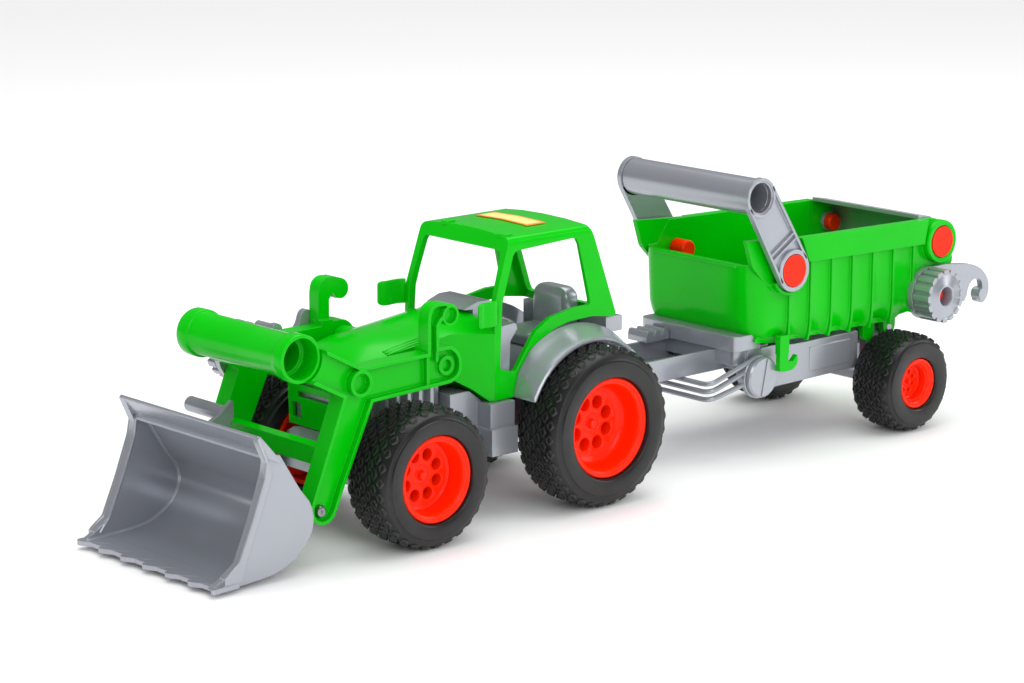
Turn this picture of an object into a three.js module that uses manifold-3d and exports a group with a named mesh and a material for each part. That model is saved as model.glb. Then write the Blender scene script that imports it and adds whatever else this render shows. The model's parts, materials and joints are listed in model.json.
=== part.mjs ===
// Toy farm tractor with a front loader and a tipping trailer, in millimetres.
// +Z is up, -Y is the front, +X is the tractor's left side.
// While it is drawn, Y runs backwards from the tractor's rear axle and Z up from the ground.
import * as THREE from 'three'
import { mergeVertices } from 'three/addons/utils/BufferGeometryUtils.js'
import Module from 'manifold-3d'

const wasm = await Module()
wasm.setup()

// ---------- driving dimensions ----------
const GAP = 0.3
const TYRE_FACE = 71
const AXLE_RADIUS = 2
const REAR = { y: 0, radius: 45, width: 33.9, rim: 28.2, face: 68.3, depth: 15, disc: 19, hub: 6 }
const FRONT = { y: -125.1, radius: 38.4, width: 34.1, rim: 23.6, face: 69.1, depth: 13, disc: 16, hub: 5.2 }
const CART = { y: 255.5, radius: 30, width: 31.6, rim: 15.3, face: 69.5, depth: 9, disc: 10.5, hub: 3.8 }
const WHEEL_SIDES = 20
const RIM_HOLES = 8

const CAB_HALF = 38
const CAB_WALL = 3
const HOOD_HALF = 28

const ARM_IN = 39.5
const ARM_WEB = 46.5
const ARM_OUT = 50.5
const ARM_FLANGE = 1.8
const HORN_IN = 42.5
const HORN_RING = [-99.3, 119.7]
const LIFT_PIVOT = [-100.5, 92.5]
const ELBOW = [-160.4, 92.4]
const GRIP = { y: -195.4, z: 109.7, half: 45.5, collar: 12.9, tube: 11.6 }
const TILT_PIVOT = [-186.2, 28.3]
const BUCKET_HALF = 60.4
const BUCKET_INNER = 55
const BUCKET_BODY = 58.2
const TEETH = 7

const HITCH_Y = 54
const DRAWBAR_HALF = 22
const STAND_PIVOT = [144.3, 47.2]
const TIP_PIVOT = [266, 58]
const TONGUE_Y = 245
const TUB_INNER = 44
const TUB_WALL = 46.8
const TUB_RIB = 49
const TUB_BAND = 50.3
const RIB_FIRST = 163
const RIB_PITCH = 18.2
const RIBS = 7
const TUB_FRONT_TOP = 114
const HANDLE_PIVOT = [161.2, 109.7]
const HANDLE_TUBE = [132.6, 155.8]
const HANDLE_BORE = 8.8
const HANDLE_IN = 50.6
const HANDLE_OUT = 54.2
const GATE_PIVOT = [295.6, 109.6]
const CAP_RADIUS = 9.4
const CART_GEAR = [285.5, 78.7]
const GEAR_RADIUS = 16.5
const GEAR_TEETH = 16

// ---------- materials ----------
const paint = (color, roughness, metalness = 0) => new THREE.MeshStandardMaterial({ color, roughness, metalness })
const green = paint(0x0cb814, 0.25)
const silver = paint(0x9fa5a9, 0.35, 0.3)
const red = paint(0xf2330d, 0.25)
const black = paint(0x1b1c1e, 0.7)
const steel = paint(0x8c9094, 0.3, 0.9)
const yellow = paint(0xf4c52a, 0.4)

// ---------- solids ----------
// A closed solid from a geometry, with its shared points merged and its faces pointing out.
function solid(geometry) {
  geometry.deleteAttribute('normal')
  geometry.deleteAttribute('uv')
  const merged = mergeVertices(geometry, 1e-4)
  const place = merged.attributes.position.array
  const index = merged.index.array
  const kept = []
  let volume = 0
  for (let i = 0; i < index.length; i += 3) {
    const [a, b, c] = [index[i], index[i + 1], index[i + 2]]
    if (a === b || b === c || a === c) continue
    kept.push([a, b, c])
    const [p, q, r] = [a, b, c].map(k => new THREE.Vector3().fromArray(place, 3 * k))
    volume += p.dot(q.cross(r))
  }
  const faces = kept.flatMap(([a, b, c]) => (volume > 0 ? [a, b, c] : [a, c, b]))
  const mesh = { numProp: 3, vertProperties: new Float32Array(place), triVerts: new Uint32Array(faces) }
  return new wasm.Manifold(new wasm.Mesh(mesh))
}

// Rounds the corners of an outline. Each point is [u, v] or [u, v, radius].
function rounded(points, steps = 2) {
  const vector = point => new THREE.Vector2(point[0], point[1])
  return points.flatMap((point, i) => {
    const corner = vector(point)
    if (!point[2]) return [corner]
    const sides = [points.at(i - 1), points[(i + 1) % points.length]].map(other => vector(other).sub(corner))
    const radius = Math.min(point[2], 0.45 * sides[0].length(), 0.45 * sides[1].length())
    const ends = sides.map(away => away.setLength(radius).add(corner))
    const bend = new THREE.QuadraticBezierCurve(ends[0], corner, ends[1])
    return bend.getPoints(steps)
  })
}

// Extrudes an outline along one axis. The outline's own axes follow in X, Y, Z order.
function extrude(points, from, to, axis) {
  const shape = new THREE.Shape(rounded(points))
  const geometry = new THREE.ExtrudeGeometry(shape, { depth: to - from, bevelEnabled: false })
  geometry.translate(0, 0, from)
  const turn = new THREE.Matrix4()
  if (axis === 'x') turn.set(0, 0, 1, 0, 1, 0, 0, 0, 0, 1, 0, 0, 0, 0, 0, 1)
  if (axis === 'y') turn.set(1, 0, 0, 0, 0, 0, 1, 0, 0, 1, 0, 0, 0, 0, 0, 1)
  geometry.applyMatrix4(turn)
  return solid(geometry)
}

const side = (points, x0, x1) => extrude(points, x0, x1, 'x')
const across = (points, y0, y1) => extrude(points, y0, y1, 'y')
const plan = (points, z0, z1) => extrude(points, z0, z1, 'z')
const block = (x0, x1, y0, y1, z0, z1) => plan([[x0, y0], [x1, y0], [x1, y1], [x0, y1]], z0, z1)

function circle([u, v], radius, sides = 20) {
  const step = (2 * Math.PI) / sides
  return Array.from({ length: sides }, (_, i) =>
    [u + radius * Math.cos((i + 0.5) * step), v + radius * Math.sin((i + 0.5) * step)])
}

const rod = (centre, radius, x0, x1, sides) => side(circle(centre, radius, sides), x0, x1)

// A solid of revolution round an X-wise axis; the profile holds [radius, x] points.
// The radii are to the middles of the flats, and one flat faces straight down.
function turned(profile, [y, z], sides = 20) {
  const reach = 1 / Math.cos(Math.PI / sides)
  const points = profile.map(([r, x]) => new THREE.Vector2(r * reach, x))
  if (profile[0][0] > 0) points.push(points[0].clone())
  const geometry = new THREE.LatheGeometry(points, sides, -Math.PI / 2 + Math.PI / sides)
  geometry.applyMatrix4(new THREE.Matrix4().set(0, 1, 0, 0, 0, 0, 1, y, 1, 0, 0, z, 0, 0, 0, 1))
  return solid(geometry)
}

// The outline of a bar with round ends, round two centres.
function link([u1, v1], r1, [u2, v2], r2, steps = 8) {
  const along = Math.atan2(v2 - v1, u2 - u1)
  const open = Math.acos((r1 - r2) / Math.hypot(u2 - u1, v2 - v1))
  const arc = (u, v, r, from, to) => Array.from({ length: steps + 1 }, (_, i) => {
    const angle = from + ((to - from) * i) / steps
    return [u + r * Math.cos(angle), v + r * Math.sin(angle)]
  })
  return [...arc(u1, v1, r1, along + open, along + 2 * Math.PI - open), ...arc(u2, v2, r2, along - open, along + open)]
}

// The same outline moved inwards by a margin.
function inset(points, margin) {
  const path = rounded(points)
  const turn = THREE.ShapeUtils.area(path) > 0 ? 1 : -1
  return path.map((point, i) => {
    const before = point.clone().sub(path.at(i - 1)).normalize()
    const after = path[(i + 1) % path.length].clone().sub(point).normalize()
    const inward = new THREE.Vector2(-before.y - after.y, before.x + after.x).normalize().multiplyScalar(turn)
    const reach = margin / Math.max(0.5, Math.abs(inward.x * -before.y + inward.y * before.x))
    return [point.x + inward.x * reach, point.y + inward.y * reach]
  })
}

function geometryOf(body) {
  const mesh = body.getMesh()
  const geometry = new THREE.BufferGeometry()
  geometry.setAttribute('position', new THREE.BufferAttribute(new Float32Array(mesh.vertProperties), 3))
  geometry.setIndex(new THREE.BufferAttribute(new Uint32Array(mesh.triVerts), 1))
  return geometry
}

function mirrored(body) {
  const geometry = geometryOf(body)
  geometry.scale(-1, 1, 1)
  return solid(geometry)
}

const join = bodies => bodies.reduce((sum, body) => sum.add(body))
const cut = (body, tools) => tools.reduce((left, tool) => left.subtract(tool), body)

// ---------- the group ----------
const group = new THREE.Group()

function put(name, body, material) {
  const mesh = new THREE.Mesh(geometryOf(body), material)
  mesh.name = name
  group.add(mesh)
}

function putPair(name, body, material) {
  put(`${name}_left`, body, material)
  put(`${name}_right`, mirrored(body), material)
}

// ---------- wheels ----------
function tyre({ y, radius, width, rim }) {
  const inner = TYRE_FACE - width
  const profile = [
    [rim + GAP, inner], [radius * 0.87, inner], [radius - 1.4, inner + 4], [radius, inner + 8],
    [radius, TYRE_FACE - 8], [radius - 1.4, TYRE_FACE - 4], [radius * 0.87, TYRE_FACE], [rim + GAP, TYRE_FACE],
  ]
  return turned(profile, [y, radius], WHEEL_SIDES)
}

function rim({ y, radius, width, rim: outer, face, depth, disc, hub }) {
  const inner = TYRE_FACE - width
  const floor = face - depth
  const bore = AXLE_RADIUS + GAP
  const profile = [
    [0, floor + 3], [hub, floor + 2.4], [hub, floor], [disc, floor], [outer - 2.4, face - 1], [outer - 0.8, face],
    [outer, face - 1], [outer, inner], [outer - 2.4, inner], [disc - 1, floor - 3], [hub, floor - 3],
    [hub, inner - 1], [bore, inner - 1], [bore, floor - 1], [0, floor - 1],
  ]
  const reach = (hub + disc) / 2
  const hole = (disc - hub) * 0.24
  const holes = Array.from({ length: RIM_HOLES }, (_, i) => {
    const angle = ((i + 0.5) * 2 * Math.PI) / RIM_HOLES
    const centre = [y + reach * Math.cos(angle), radius + reach * Math.sin(angle)]
    return rod(centre, hole, floor - 5, floor + 2, 6)
  })
  return cut(turned(profile, [y, radius], WHEEL_SIDES), holes)
}

function axle({ y, radius, face, depth }) {
  const half = face - depth - 1 - GAP
  return rod([y, radius], AXLE_RADIUS, -half, half, 12)
}

function wheels(name, wheel) {
  putPair(`${name}_tyre`, tyre(wheel), black)
  putPair(`${name}_rim`, rim(wheel), red)
  put(`${name}_axle`, axle(wheel), steel)
}

// ---------- tractor body ----------
function chassis() {
  const beam = block(-20, 20, -140, 40, 36, 57)
  const saddle = across([
    [-35, 31, 4], [35, 31, 4], [35, 45, 6], [22, 55.4, 6], [-22, 55.4, 6], [-35, 45, 6],
  ], -149, -105)
  const shoulder = side([[-83.5, 45], [-83.5, 70.5], [-70, 70.5], [-61, 63.8], [-46, 63.8], [-46, 45]], -31, 31)
  const steps = side([[-64, 35], [-64, 63.8], [-46.5, 63.8], [-46.5, 35]], -42, 42)
  const lowStep = side([[-64.6, 35], [-64.6, 50], [-45.9, 50], [-45.9, 35]], -44, 44)
  const housing = across([[-33, 34], [33, 34], [33, 56], [20, 60], [-20, 60], [-33, 56]], -18, 18)
  const tongue = plan([[-8, 30], [8, 30], [8, 56, 4], [4, 62, 3], [-4, 62, 3], [-8, 56, 4]], 57, 61)
  const tail = block(-14, 14, 36, 44, 50, 61)
  const bores = [FRONT, REAR].map(({ y, radius }) => rod([y, radius], AXLE_RADIUS + GAP, -50, 50, 12))
  const pinHole = plan(circle([0, HITCH_Y], 3.3, 12), 50, 65)
  return cut(join([beam, saddle, shoulder, steps, lowStep, housing, tail, tongue]), [...bores, pinHole])
}

function hitchPin() {
  const shank = plan(circle([0, HITCH_Y], 3, 12), 48, 62)
  return shank.add(plan(circle([0, HITCH_Y], 5, 12), 61 + GAP, 63))
}

// The silver engine side with a row of upright ribs, under the hood.
function engineBlock() {
  const core = block(-22, 22, -131, -84, 57 + GAP, 78.8)
  const ribs = Array.from({ length: 5 }, (_, i) => -123 + 8 * i).flatMap(y =>
    [-21.6, 21.6].map(x => plan(circle([x, y], 3.6, 10), 57 + GAP, 78.4)))
  return join([core, ...ribs])
}

const CAB_OUTLINE = [
  [-57.6, 64.2], [-57.2, 117], [-46.4, 149.6, 5], [-44, 156], [10, 158], [13.5, 152.5, 6], [17, 145.8], [32.8, 100.8],
  [31, 98.7], [15, 101], [-3, 100.5], [-14, 97.9], [-22.6, 94], [-28.6, 89.4], [-34.4, 81.6], [-38, 72], [-40.8, 64.2],
]
const CAB_SECTION = [
  [-38, 40], [38, 40], [38, 100], [36.8, 149.8, 2], [34.5, 152.3, 3], [18, 153.8], [0, 154.3],
  [-18, 153.8], [-34.5, 152.3, 3], [-36.8, 149.8, 2], [-38, 100],
]
const CAB_ROOM = [[-54.4, 40], [-54.2, 113], [-43, 147.4, 3], [11.4, 149.8, 3], [29.4, 100], [29.4, 40]]
const DOOR = [
  [-42.4, 144.8, 3], [4.3, 146.9, 4], [14.1, 107.6, 3], [1, 107.6], [-16.7, 104.6], [-27.5, 98.5], [-36, 87.5],
  [-42.6, 78.1, 2], [-53.6, 81, 2], [-52.8, 100], [-51.6, 117],
]
const HOOD_SIDE = [
  [-151.6, 57], [-152.6, 80], [-150.4, 91, 4], [-142, 98.6, 3], [-130, 125], [-55, 125],
  [-55, 64.2], [-60, 64.2], [-69, 71.5], [-82, 79.3], [-138, 79.3], [-143.6, 70], [-145, 57],
]
const HOOD_ROOM = [[-149, 40], [-149.8, 79], [-147.8, 90], [-140, 97], [-128, 125], [-59.6, 125], [-59.6, 40]]
const HOOD_CROWN = [[-160, 88], [-150, 92], [-140.8, 98.8], [-119, 103.9], [-100, 105.8], [-66, 109.6], [-40, 111.6]]
const HOOD_DROP = 5
const HOOD_SKIN = 2.6
const hoodPlan = margin => [
  [20 - margin, -156], [25.4 - margin, -146], [HOOD_HALF - margin, -132], [HOOD_HALF - margin, -80],
  [CAB_HALF - margin, -57], [CAB_HALF - margin, -50], [margin - CAB_HALF, -50], [margin - CAB_HALF, -57],
  [margin - HOOD_HALF, -80], [margin - HOOD_HALF, -132], [margin - 25.4, -146], [margin - 20, -156],
]

// The space under the hood's top, which falls away to both sides.
function underCrown(lower) {
  const steps = 12
  const ring = HOOD_CROWN.flatMap(([y, z]) => Array.from({ length: steps + 1 }, (_, i) => {
    const x = CAB_HALF * ((2 * i) / steps - 1)
    return [x, y, z - lower - HOOD_DROP * (x / HOOD_HALF) ** 2]
  }))
  const slabs = HOOD_CROWN.slice(1).map((_, k) => {
    const row = n => ring.slice(n * (steps + 1), (n + 1) * (steps + 1))
    const top = [...row(k), ...row(k + 1)]
    return wasm.Manifold.hull([...top, ...top.map(([x, y]) => [x, y, 20])])
  })
  return join(slabs)
}

function cabShell() {
  const cab = side(CAB_OUTLINE, -CAB_HALF, CAB_HALF).intersect(across(CAB_SECTION, -70, 40))
  const hoodBody = (outline, margin) => side(outline, -CAB_HALF, CAB_HALF)
    .intersect(plan(hoodPlan(margin), 30, 130)).intersect(underCrown(margin))
  const bosses = [1, -1].flatMap(way => {
    const [near, face, end] = [26 * way, (ARM_IN - GAP) * way, 46.2 * way].map(Math.abs)
    const stub = rod(LIFT_PIVOT, 8, near, face).add(rod(LIFT_PIVOT, 3, near, end, 12))
    return [way > 0 ? stub : mirrored(stub)]
  })
  const cabRoom = side(CAB_ROOM, CAB_WALL - CAB_HALF, CAB_HALF - CAB_WALL)
  const doors = side(DOOR, -50, 50)
  const windscreen = across([[-35, 104], [35, 104], [32.5, 145.3, 3], [-32.5, 145.3, 3]], -64, -36)
  const rearWindow = across([[-31, 103.5, 3], [31, 103.5, 3], [30, 146, 3], [-30, 146, 3]], 8, 40)
  const slots = [
    block(-14, 14, -165, -145, 72.7, 76), block(-14, 14, -165, -145, 79.5, 82.5),
    block(-19.5, -11, -165, -145, 61, 69.5), block(11, 19.5, -165, -145, 61, 69.5),
  ]
  const body = cut(cab, [windscreen]).add(hoodBody(HOOD_SIDE, 0))
  const shell = cut(body, [cabRoom, hoodBody(HOOD_ROOM, HOOD_SKIN)])
  return cut(join([shell, ...bosses]), [doors, rearWindow, ...slots])
}

const grilleInsert = () =>
  side([[-148.6, 59], [-149.2, 78.8], [-147.2, 86], [-145.4, 85.4], [-147.2, 78.8], [-146.6, 59]], -19.4, 19.4)

// A blank label that follows the crown of the roof.
function roofLabel() {
  const crown = [[-21.5, 153.8], [-18, 154.1], [0, 154.6], [18, 154.1], [21.5, 153.8]]
  const top = crown.map(([x, z]) => [x, z + 0.5]).reverse()
  return across([...crown, ...top], -19.5, -5.5)
}

// The silver inner moulding: dash, footwell, seat platform and rear deck.
function cabTub() {
  const room = [
    [-53.9, 64.6], [-53.9, 101.5], [-50, 104, 2], [-39, 104.6, 2], [-38, 101], [-43, 95], [-44.5, 68.6],
    [-24, 68.6], [-14, 83.3], [28.6, 83.3], [28.6, 97.8], [41, 97.8, 1], [41, 89, 1], [31.5, 89], [29, 78], [16, 64.6],
  ]
  const dash = [
    [-53.9, 100], [-53.9, 111], [-59.6, 111.2], [-59.4, 111.9], [-51, 114.9, 1], [-41, 114.9, 2], [-38.5, 110],
    [-42, 100],
  ]
  return side(room, -34.6, 34.6).add(side(dash, -16, 16))
}

function driverSeat() {
  const chair = [
    [-11, 83.6], [-12.5, 87.5, 2], [-9, 90.4, 2], [9.5, 90.4, 2], [16.5, 109, 3], [21.5, 112.6, 3], [26.6, 111, 3],
    [27.7, 100, 3], [27.7, 83.6],
  ]
  const front = across([[-14.5, 80], [14.5, 80], [14.5, 112.6, 9], [-14.5, 112.6, 9]], -20, 40)
  return side(chair, -14.5, 14.5).intersect(front)
}

// A quarter strip of silver mudguard over each rear tyre.
function fender() {
  const section = [
    [46.2, 38.3], [46.2, 55], [47.4, 55.4], [48.4, 54.6], [49.6, 51], [50.6, 46.5], [52.4, 42.5], [54.2, 38.3],
  ]
  const ring = turned(section, [REAR.y, REAR.radius], 48)
  const wedge = [[0, 45], [0, 64.3], [-100, 64.3], [-100, 170], [111.8, 170]]
  const trim = [[-44, 60], [-43.8, 67], [-40.5, 78], [-31, 90], [-20, 120], [90, 120], [90, 60]]
  return ring.intersect(side(wedge, 30, 70)).intersect(side(trim, 30, 70))
}

// A curved paddle mirror standing forward of each windscreen pillar.
function mirror() {
  const paddle = [
    [38.3, -55], [39.8, -55], [41.8, -63], [41.4, -67.6], [43.6, -73], [41.8, -73.6], [39.4, -68], [39.8, -63.4],
    [38.3, -59],
  ]
  return plan(paddle, 106.5, 120.5)
}

// ---------- front loader ----------
const ARM = [
  [-187, 21.2, 2], [-193.3, 24.6, 3], [-194.4, 31.5, 3], [-190.6, 40.5], [-171.8, 86.4], [-192.6, 97.6], [-190, 108],
  [-186, 112.6], [-183, 113.4], [-159.3, 100.6], [-115, 101.4], [-115, 119.6, 3], [-113.6, 125, 3],
  [-109.5, 127.6, 3], [-103, 127.2], [-96.4, 125.2, 2], [-93.6, 121.4, 2], [-94.2, 116.6, 2], [-98.2, 114, 2],
  [-102.6, 115.4, 1], [-104.8, 118.4, 1], [-107.4, 115], [-107.4, 103.4], [-98.4, 103.4, 3], [-92.8, 98.6, 4],
  [-91.2, 91.5, 4], [-93.4, 85.6, 3], [-99, 83.2, 2], [-118.8, 82.4], [-152.4, 81.2], [-166.2, 52], [-171.8, 40.6],
  [-178.4, 25.4, 3], [-182, 22, 2],
]

function loaderArm(withTube) {
  const outline = side(ARM, ARM_IN, ARM_OUT)
  const recess = side(inset(ARM, ARM_FLANGE), ARM_WEB, ARM_OUT + 5)
  const web = cut(outline, [recess])
  const extras = [
    rod(HORN_RING, 5.5, 45, ARM_OUT, 14), rod(LIFT_PIVOT, 5.4, 44, ARM_OUT - 2, 14),
    block(45, ARM_OUT - 1, -115.2, -113.4, 84, 104), block(45, ARM_OUT - 1, -108.8, -107.2, 95.8, 105),
  ]
  if (withTube) extras.push(rod(ELBOW, 7.2, 44, 51.2))
  const cuts = [
    rod([GRIP.y, GRIP.z], GRIP.collar + GAP, 30, 60, 24), rod(LIFT_PIVOT, 3 + GAP, 30, 60, 12),
    rod(TILT_PIVOT, 1.8, 30, 60, 12), rod(HORN_RING, 4.4, 47.5, 60, 12),
    withTube ? rod(ELBOW, 5.4, 47.6, 60) : rod(ELBOW, 3 + GAP, 30, 60, 12),
    block(30, HORN_IN, -130, -80, 104.5, 140),
  ]
  return cut(join([web, ...extras]), cuts)
}

function gripTube() {
  const { y, z, half, collar, tube } = GRIP
  const [step, bore] = [10.9, 8.8]
  const profile = [
    [collar, half], [collar, 36.6], [tube, 36], [tube, -36], [collar, -36.6], [collar, -half],
    [step, -half], [step, -33], [bore, -33], [bore, 33], [step, 33], [step, half],
  ]
  return turned(profile, [y, z], 20)
}

const crossBar = () => block(GAP - ARM_IN, ARM_IN - GAP, -182, -175, 50.4, 60.4)

const BUCKET_OUTER = [
  [-262, 2.6], [-241.8, 3], [-223.7, 4.8], [-213.5, 8.8], [-206.3, 13.8], [-201.4, 19.6], [-199, 26], [-199, 32],
  [-201.4, 38.6], [-208, 47.4], [-219.6, 66.2], [-228.6, 67.8], [-230.6, 58], [-238.3, 34.8], [-247.1, 14.1],
  [-256.1, 8.5], [-264, 4.6],
]
const BUCKET_HOLLOW = [
  [-280, 5.6], [-241.8, 5.6], [-224.5, 7.2], [-214.8, 11], [-208, 15.8], [-203.8, 21], [-201.6, 26.6], [-201.6, 31.4],
  [-203.6, 37.4], [-210, 45.8], [-221.4, 64.4], [-229.4, 65.8], [-280, 65.8],
]
const FLANGE = [[-219.6, 63], [-233.2, 78.4], [-235.2, 77.4], [-228.4, 66.2], [-222, 63]]
const SIDE_RIM = [
  [-233.2, 78.4], [-235.2, 77.4], [-229.2, 64], [-231, 56], [-239.4, 34.6], [-248.2, 14.6], [-256.8, 9],
  [-257, 4.4], [-246, 5.4], [-243.4, 14.2], [-234.6, 35.6], [-226, 57],
]

// The cutting lip with a row of hooked teeth.
function lip() {
  const land = 2.4
  const pitch = (2 * BUCKET_HALF - land) / (TEETH - 1)
  const edge = Array.from({ length: TEETH }, (_, i) => {
    const x = pitch * i - BUCKET_HALF
    const tip = [[x, -257], [x, -263.6], [x + 1.2, -265.2]]
    if (i === TEETH - 1) return [...tip, [x + land, -265.2]]
    return [...tip, [x + 4, -264.9], [x + 9, -262.4], [x + 14, -259.4], [x + pitch - 1.2, -256.6]]
  })
  return plan([...edge.flat(), [BUCKET_HALF, -248], [-BUCKET_HALF, -248]], 2.6, 5)
}

function bucket() {
  const lug = side([[-203, 38], [-188, 34.6], [-182, 33], [-179.8, 28.3], [-182, 23.6], [-188, 22], [-203, 19]],
    33.5, ARM_IN - GAP)
  const rim = side(SIDE_RIM, BUCKET_INNER, BUCKET_HALF)
  const shell = join([
    side(BUCKET_OUTER, -BUCKET_BODY, BUCKET_BODY), side(FLANGE, -BUCKET_HALF, BUCKET_HALF),
    rim, mirrored(rim), lug, mirrored(lug),
  ])
  const hollow = side(BUCKET_HOLLOW, -BUCKET_INNER, BUCKET_INNER)
  const screwHoles = rod(TILT_PIVOT, 1.8, -50, 50, 12)
  return cut(shell, [hollow, screwHoles]).add(lip())
}

// The lever behind the bucket with the peg that a finger pushes.
function tiltLever() {
  const plate = side([[-222, 60], [-200, 69], [-191, 76.5, 2], [-190.2, 67, 2], [-203, 50], [-212, 48]], -22, -19.4)
  const peg = rod([-195, 68.8], 4.3, -52, -20.5, 16)
  const clear = side(inset(BUCKET_OUTER, -GAP), -30, -10)
  const clearFlange = side(inset(FLANGE, -GAP), -30, -10)
  return cut(plate.add(peg), [clear, clearFlange])
}

function bucketScrew() {
  const shank = rod(TILT_PIVOT, 1.5, 34, 47.4, 12)
  return shank.add(rod(TILT_PIVOT, 3.4, 46.8, 49.4, 16))
}

// ---------- ratchet gear, its hook lever and its pin ----------
function gear(centre, back, front) {
  const step = (2 * Math.PI) / GEAR_TEETH
  const outline = Array.from({ length: GEAR_TEETH }, (_, i) => i * step).flatMap(angle => [
    [-0.3, GEAR_RADIUS - 2.4], [-0.2, GEAR_RADIUS], [0.2, GEAR_RADIUS], [0.3, GEAR_RADIUS - 2.4],
  ].map(([turn, r]) => [centre[0] + r * Math.cos(angle + turn * step), centre[1] + r * Math.sin(angle + turn * step)]))
  const eye = rod(centre, 5.2, back + 4, front + 1, 16)
  return cut(side(outline, back, front), [eye, rod(centre, 3 + GAP, back - 1, front + 1, 12)])
}

// The hook lever; its arm and hook are drawn from the pivot, backwards and up.
function hookLever([y, z], back, front) {
  const hook = [
    [0, 16.2], [14, 16.2], [38, 13.4, 3], [49, 9.4, 6], [56.6, 0, 6], [55.6, -9, 4], [51, -13.4, 2], [45, -11.4, 2],
    [44.4, -7, 1], [50, -5, 2], [49.6, 1.6, 3], [43.6, 4.2, 4], [37, 1, 3], [35, -7, 1], [32.5, -10, 1], [29, -8],
    [16, -4], [0, -10],
  ].map(([dy, dz, r]) => [y + dy, z + dz, r])
  const disc = rod([y, z], GEAR_RADIUS, back, front, 24)
  const tipPeg = rod([y + 47.6, z - 6.6], 4, back, front + 3, 12)
  return cut(join([disc, side(hook, back, front), tipPeg]), [rod([y, z], 3 + GAP, back - 1, front + 1, 12)])
}

// The loader's lever is low, with an upturned end and a finger peg.
function loaderLever(back, front) {
  const [y, z] = ELBOW
  const arm = [
    [0, 14], [14, 6, 3], [33, 4.4, 3], [38.6, 9, 3], [40.4, 15.6, 2], [44, 17.6, 2], [47.4, 15.4, 2], [47.6, 4, 5],
    [40, -4.6, 5], [16, -9, 3], [0, -12],
  ].map(([dy, dz, r]) => [y + dy, z + dz, r])
  const peg = [y + 23.3, z + 8.4]
  const disc = rod([y, z], GEAR_RADIUS, back, front, 24)
  const lever = join([disc, side(arm, back, front), rod(peg, 3.6, back, front, 12), rod(peg, 2.8, front - 1, 68, 12)])
  return cut(lever, [rod([y, z], 3 + GAP, back - 1, front + 1, 12)])
}

const gearPin = (centre, from, to) => rod(centre, 3, from, to, 12)

// ---------- trailer ----------
function drawbar() {
  const outer = plan([
    [-DRAWBAR_HALF, 72], [-11, 66], [-8, 58], [-8, 52, 4], [-3.5, 46.2, 3], [3.5, 46.2, 3], [8, 52, 4], [8, 58],
    [11, 66], [DRAWBAR_HALF, 72], [DRAWBAR_HALF, 136], [-DRAWBAR_HALF, 136],
  ], 49.6, 62.5)
  const well = plan([[-9, 69], [9, 69], [DRAWBAR_HALF - 2, 74.4], [DRAWBAR_HALF - 2, 138],
    [2 - DRAWBAR_HALF, 138], [2 - DRAWBAR_HALF, 74.4]], 51.8, 70)
  const nose = block(-30, 30, 40, 66, 56.7, 70)
  const pinHole = plan(circle([0, HITCH_Y], 3.3, 12), 40, 60)
  return cut(outer, [well, nose, pinHole])
}

// The ribbed tab on the right side of the drawbar.
function drawbarTab() {
  const base = block(-30, -14, 108, 126.6, 63, 66.4)
  const ribs = [110.5, 117, 123.5].map(y =>
    side([[y - 2.6, 66], [y + 2.6, 66], [y + 1.6, 69.6, 1], [y - 1.6, 69.6, 1]], -30, -14))
  return join([base, ...ribs])
}

function trailerFrame() {
  const deck = side([[127, 62.9], [127, 72.2, 1], [134, 73, 1], [139.4, 68.6], [150, 64.4], [158, 62.9]], -40, 40)
  const beam = block(-30, 30, 136 + GAP, 262, 50, 64.5)
  const rail = [[138, 63.6], [136.6, 46, 3], [141, 38, 3], [156, 37], [235, 38], [235, 61], [176, 61], [158, 64.5]]
  const rails = [side(rail, 29, 38.9), side(rail, -38.9, -29)]
  const bosses = [rod(STAND_PIVOT, 9, 34, 40.6), rod(STAND_PIVOT, 9, -40.6, -34)]
  const tail = block(-30, 30, 250, 270, 53, 62)
  const axleBox = side([[246, 56], [246, 30, 3], [250, 25, 3], [261, 25, 3], [265, 30, 3], [265, 56]], -30.8, 30.8)
  const hingePin = rod(TIP_PIVOT, 2.5, -36.5, 36.5, 12)
  const clear = [
    rod(STAND_PIVOT, 3 + GAP, -50, 50, 12), rod([CART.y, CART.radius], AXLE_RADIUS + GAP, -50, 50, 12),
    block(-50, 50, 150.01, 275, 63.2, 80),
  ]
  return cut(join([deck, beam, ...rails, ...bosses, tail, axleBox, hingePin]), clear)
}

// The parking stand: three parallel bars bent round under the drawbar, on a disc at each side.
function stand() {
  const [inner, outer] = [40.9, 43.9]
  const bars = [[[144, 58.4], 48], [[139.5, 53], 43.4], [[138, 46], 38.8]]
  const cheeks = [1, -1].map(way => {
    const disc = cut(rod(STAND_PIVOT, 13, inner, outer, 24), [rod(STAND_PIVOT, 3 + GAP, 30, 50, 12)])
    const legs = bars.map(([[y, z], low]) => side(link([y, z], 1.2, [104, low], 1.2, 2), inner, outer))
    const post = side([[102.8, 38], [105.2, 38], [105.2, 48.6], [102.8, 48.6]], inner, outer)
    const cheek = join([disc, ...legs, post])
    return way > 0 ? cheek : mirrored(cheek)
  })
  const cross = bars.map(([, low]) => side(circle([104, low], 1.2, 6), -outer, outer))
  return join([...cheeks, ...cross])
}

// The slotted round knob that the stand turns on.
function knob() {
  const profile = [[0, 47.4], [11, 47.4], [12, 46.4], [12, 44.2], [3, 44.2], [3, 36], [0, 36]]
  const [y, z] = STAND_PIVOT
  const slot = side([[y - 3.6, z - 14], [y - 2.4, z - 14], [y + 3.6, z + 14], [y + 2.4, z + 14]], 46.8, 50)
  return cut(turned(profile, STAND_PIVOT, 24), [slot])
}

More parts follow.
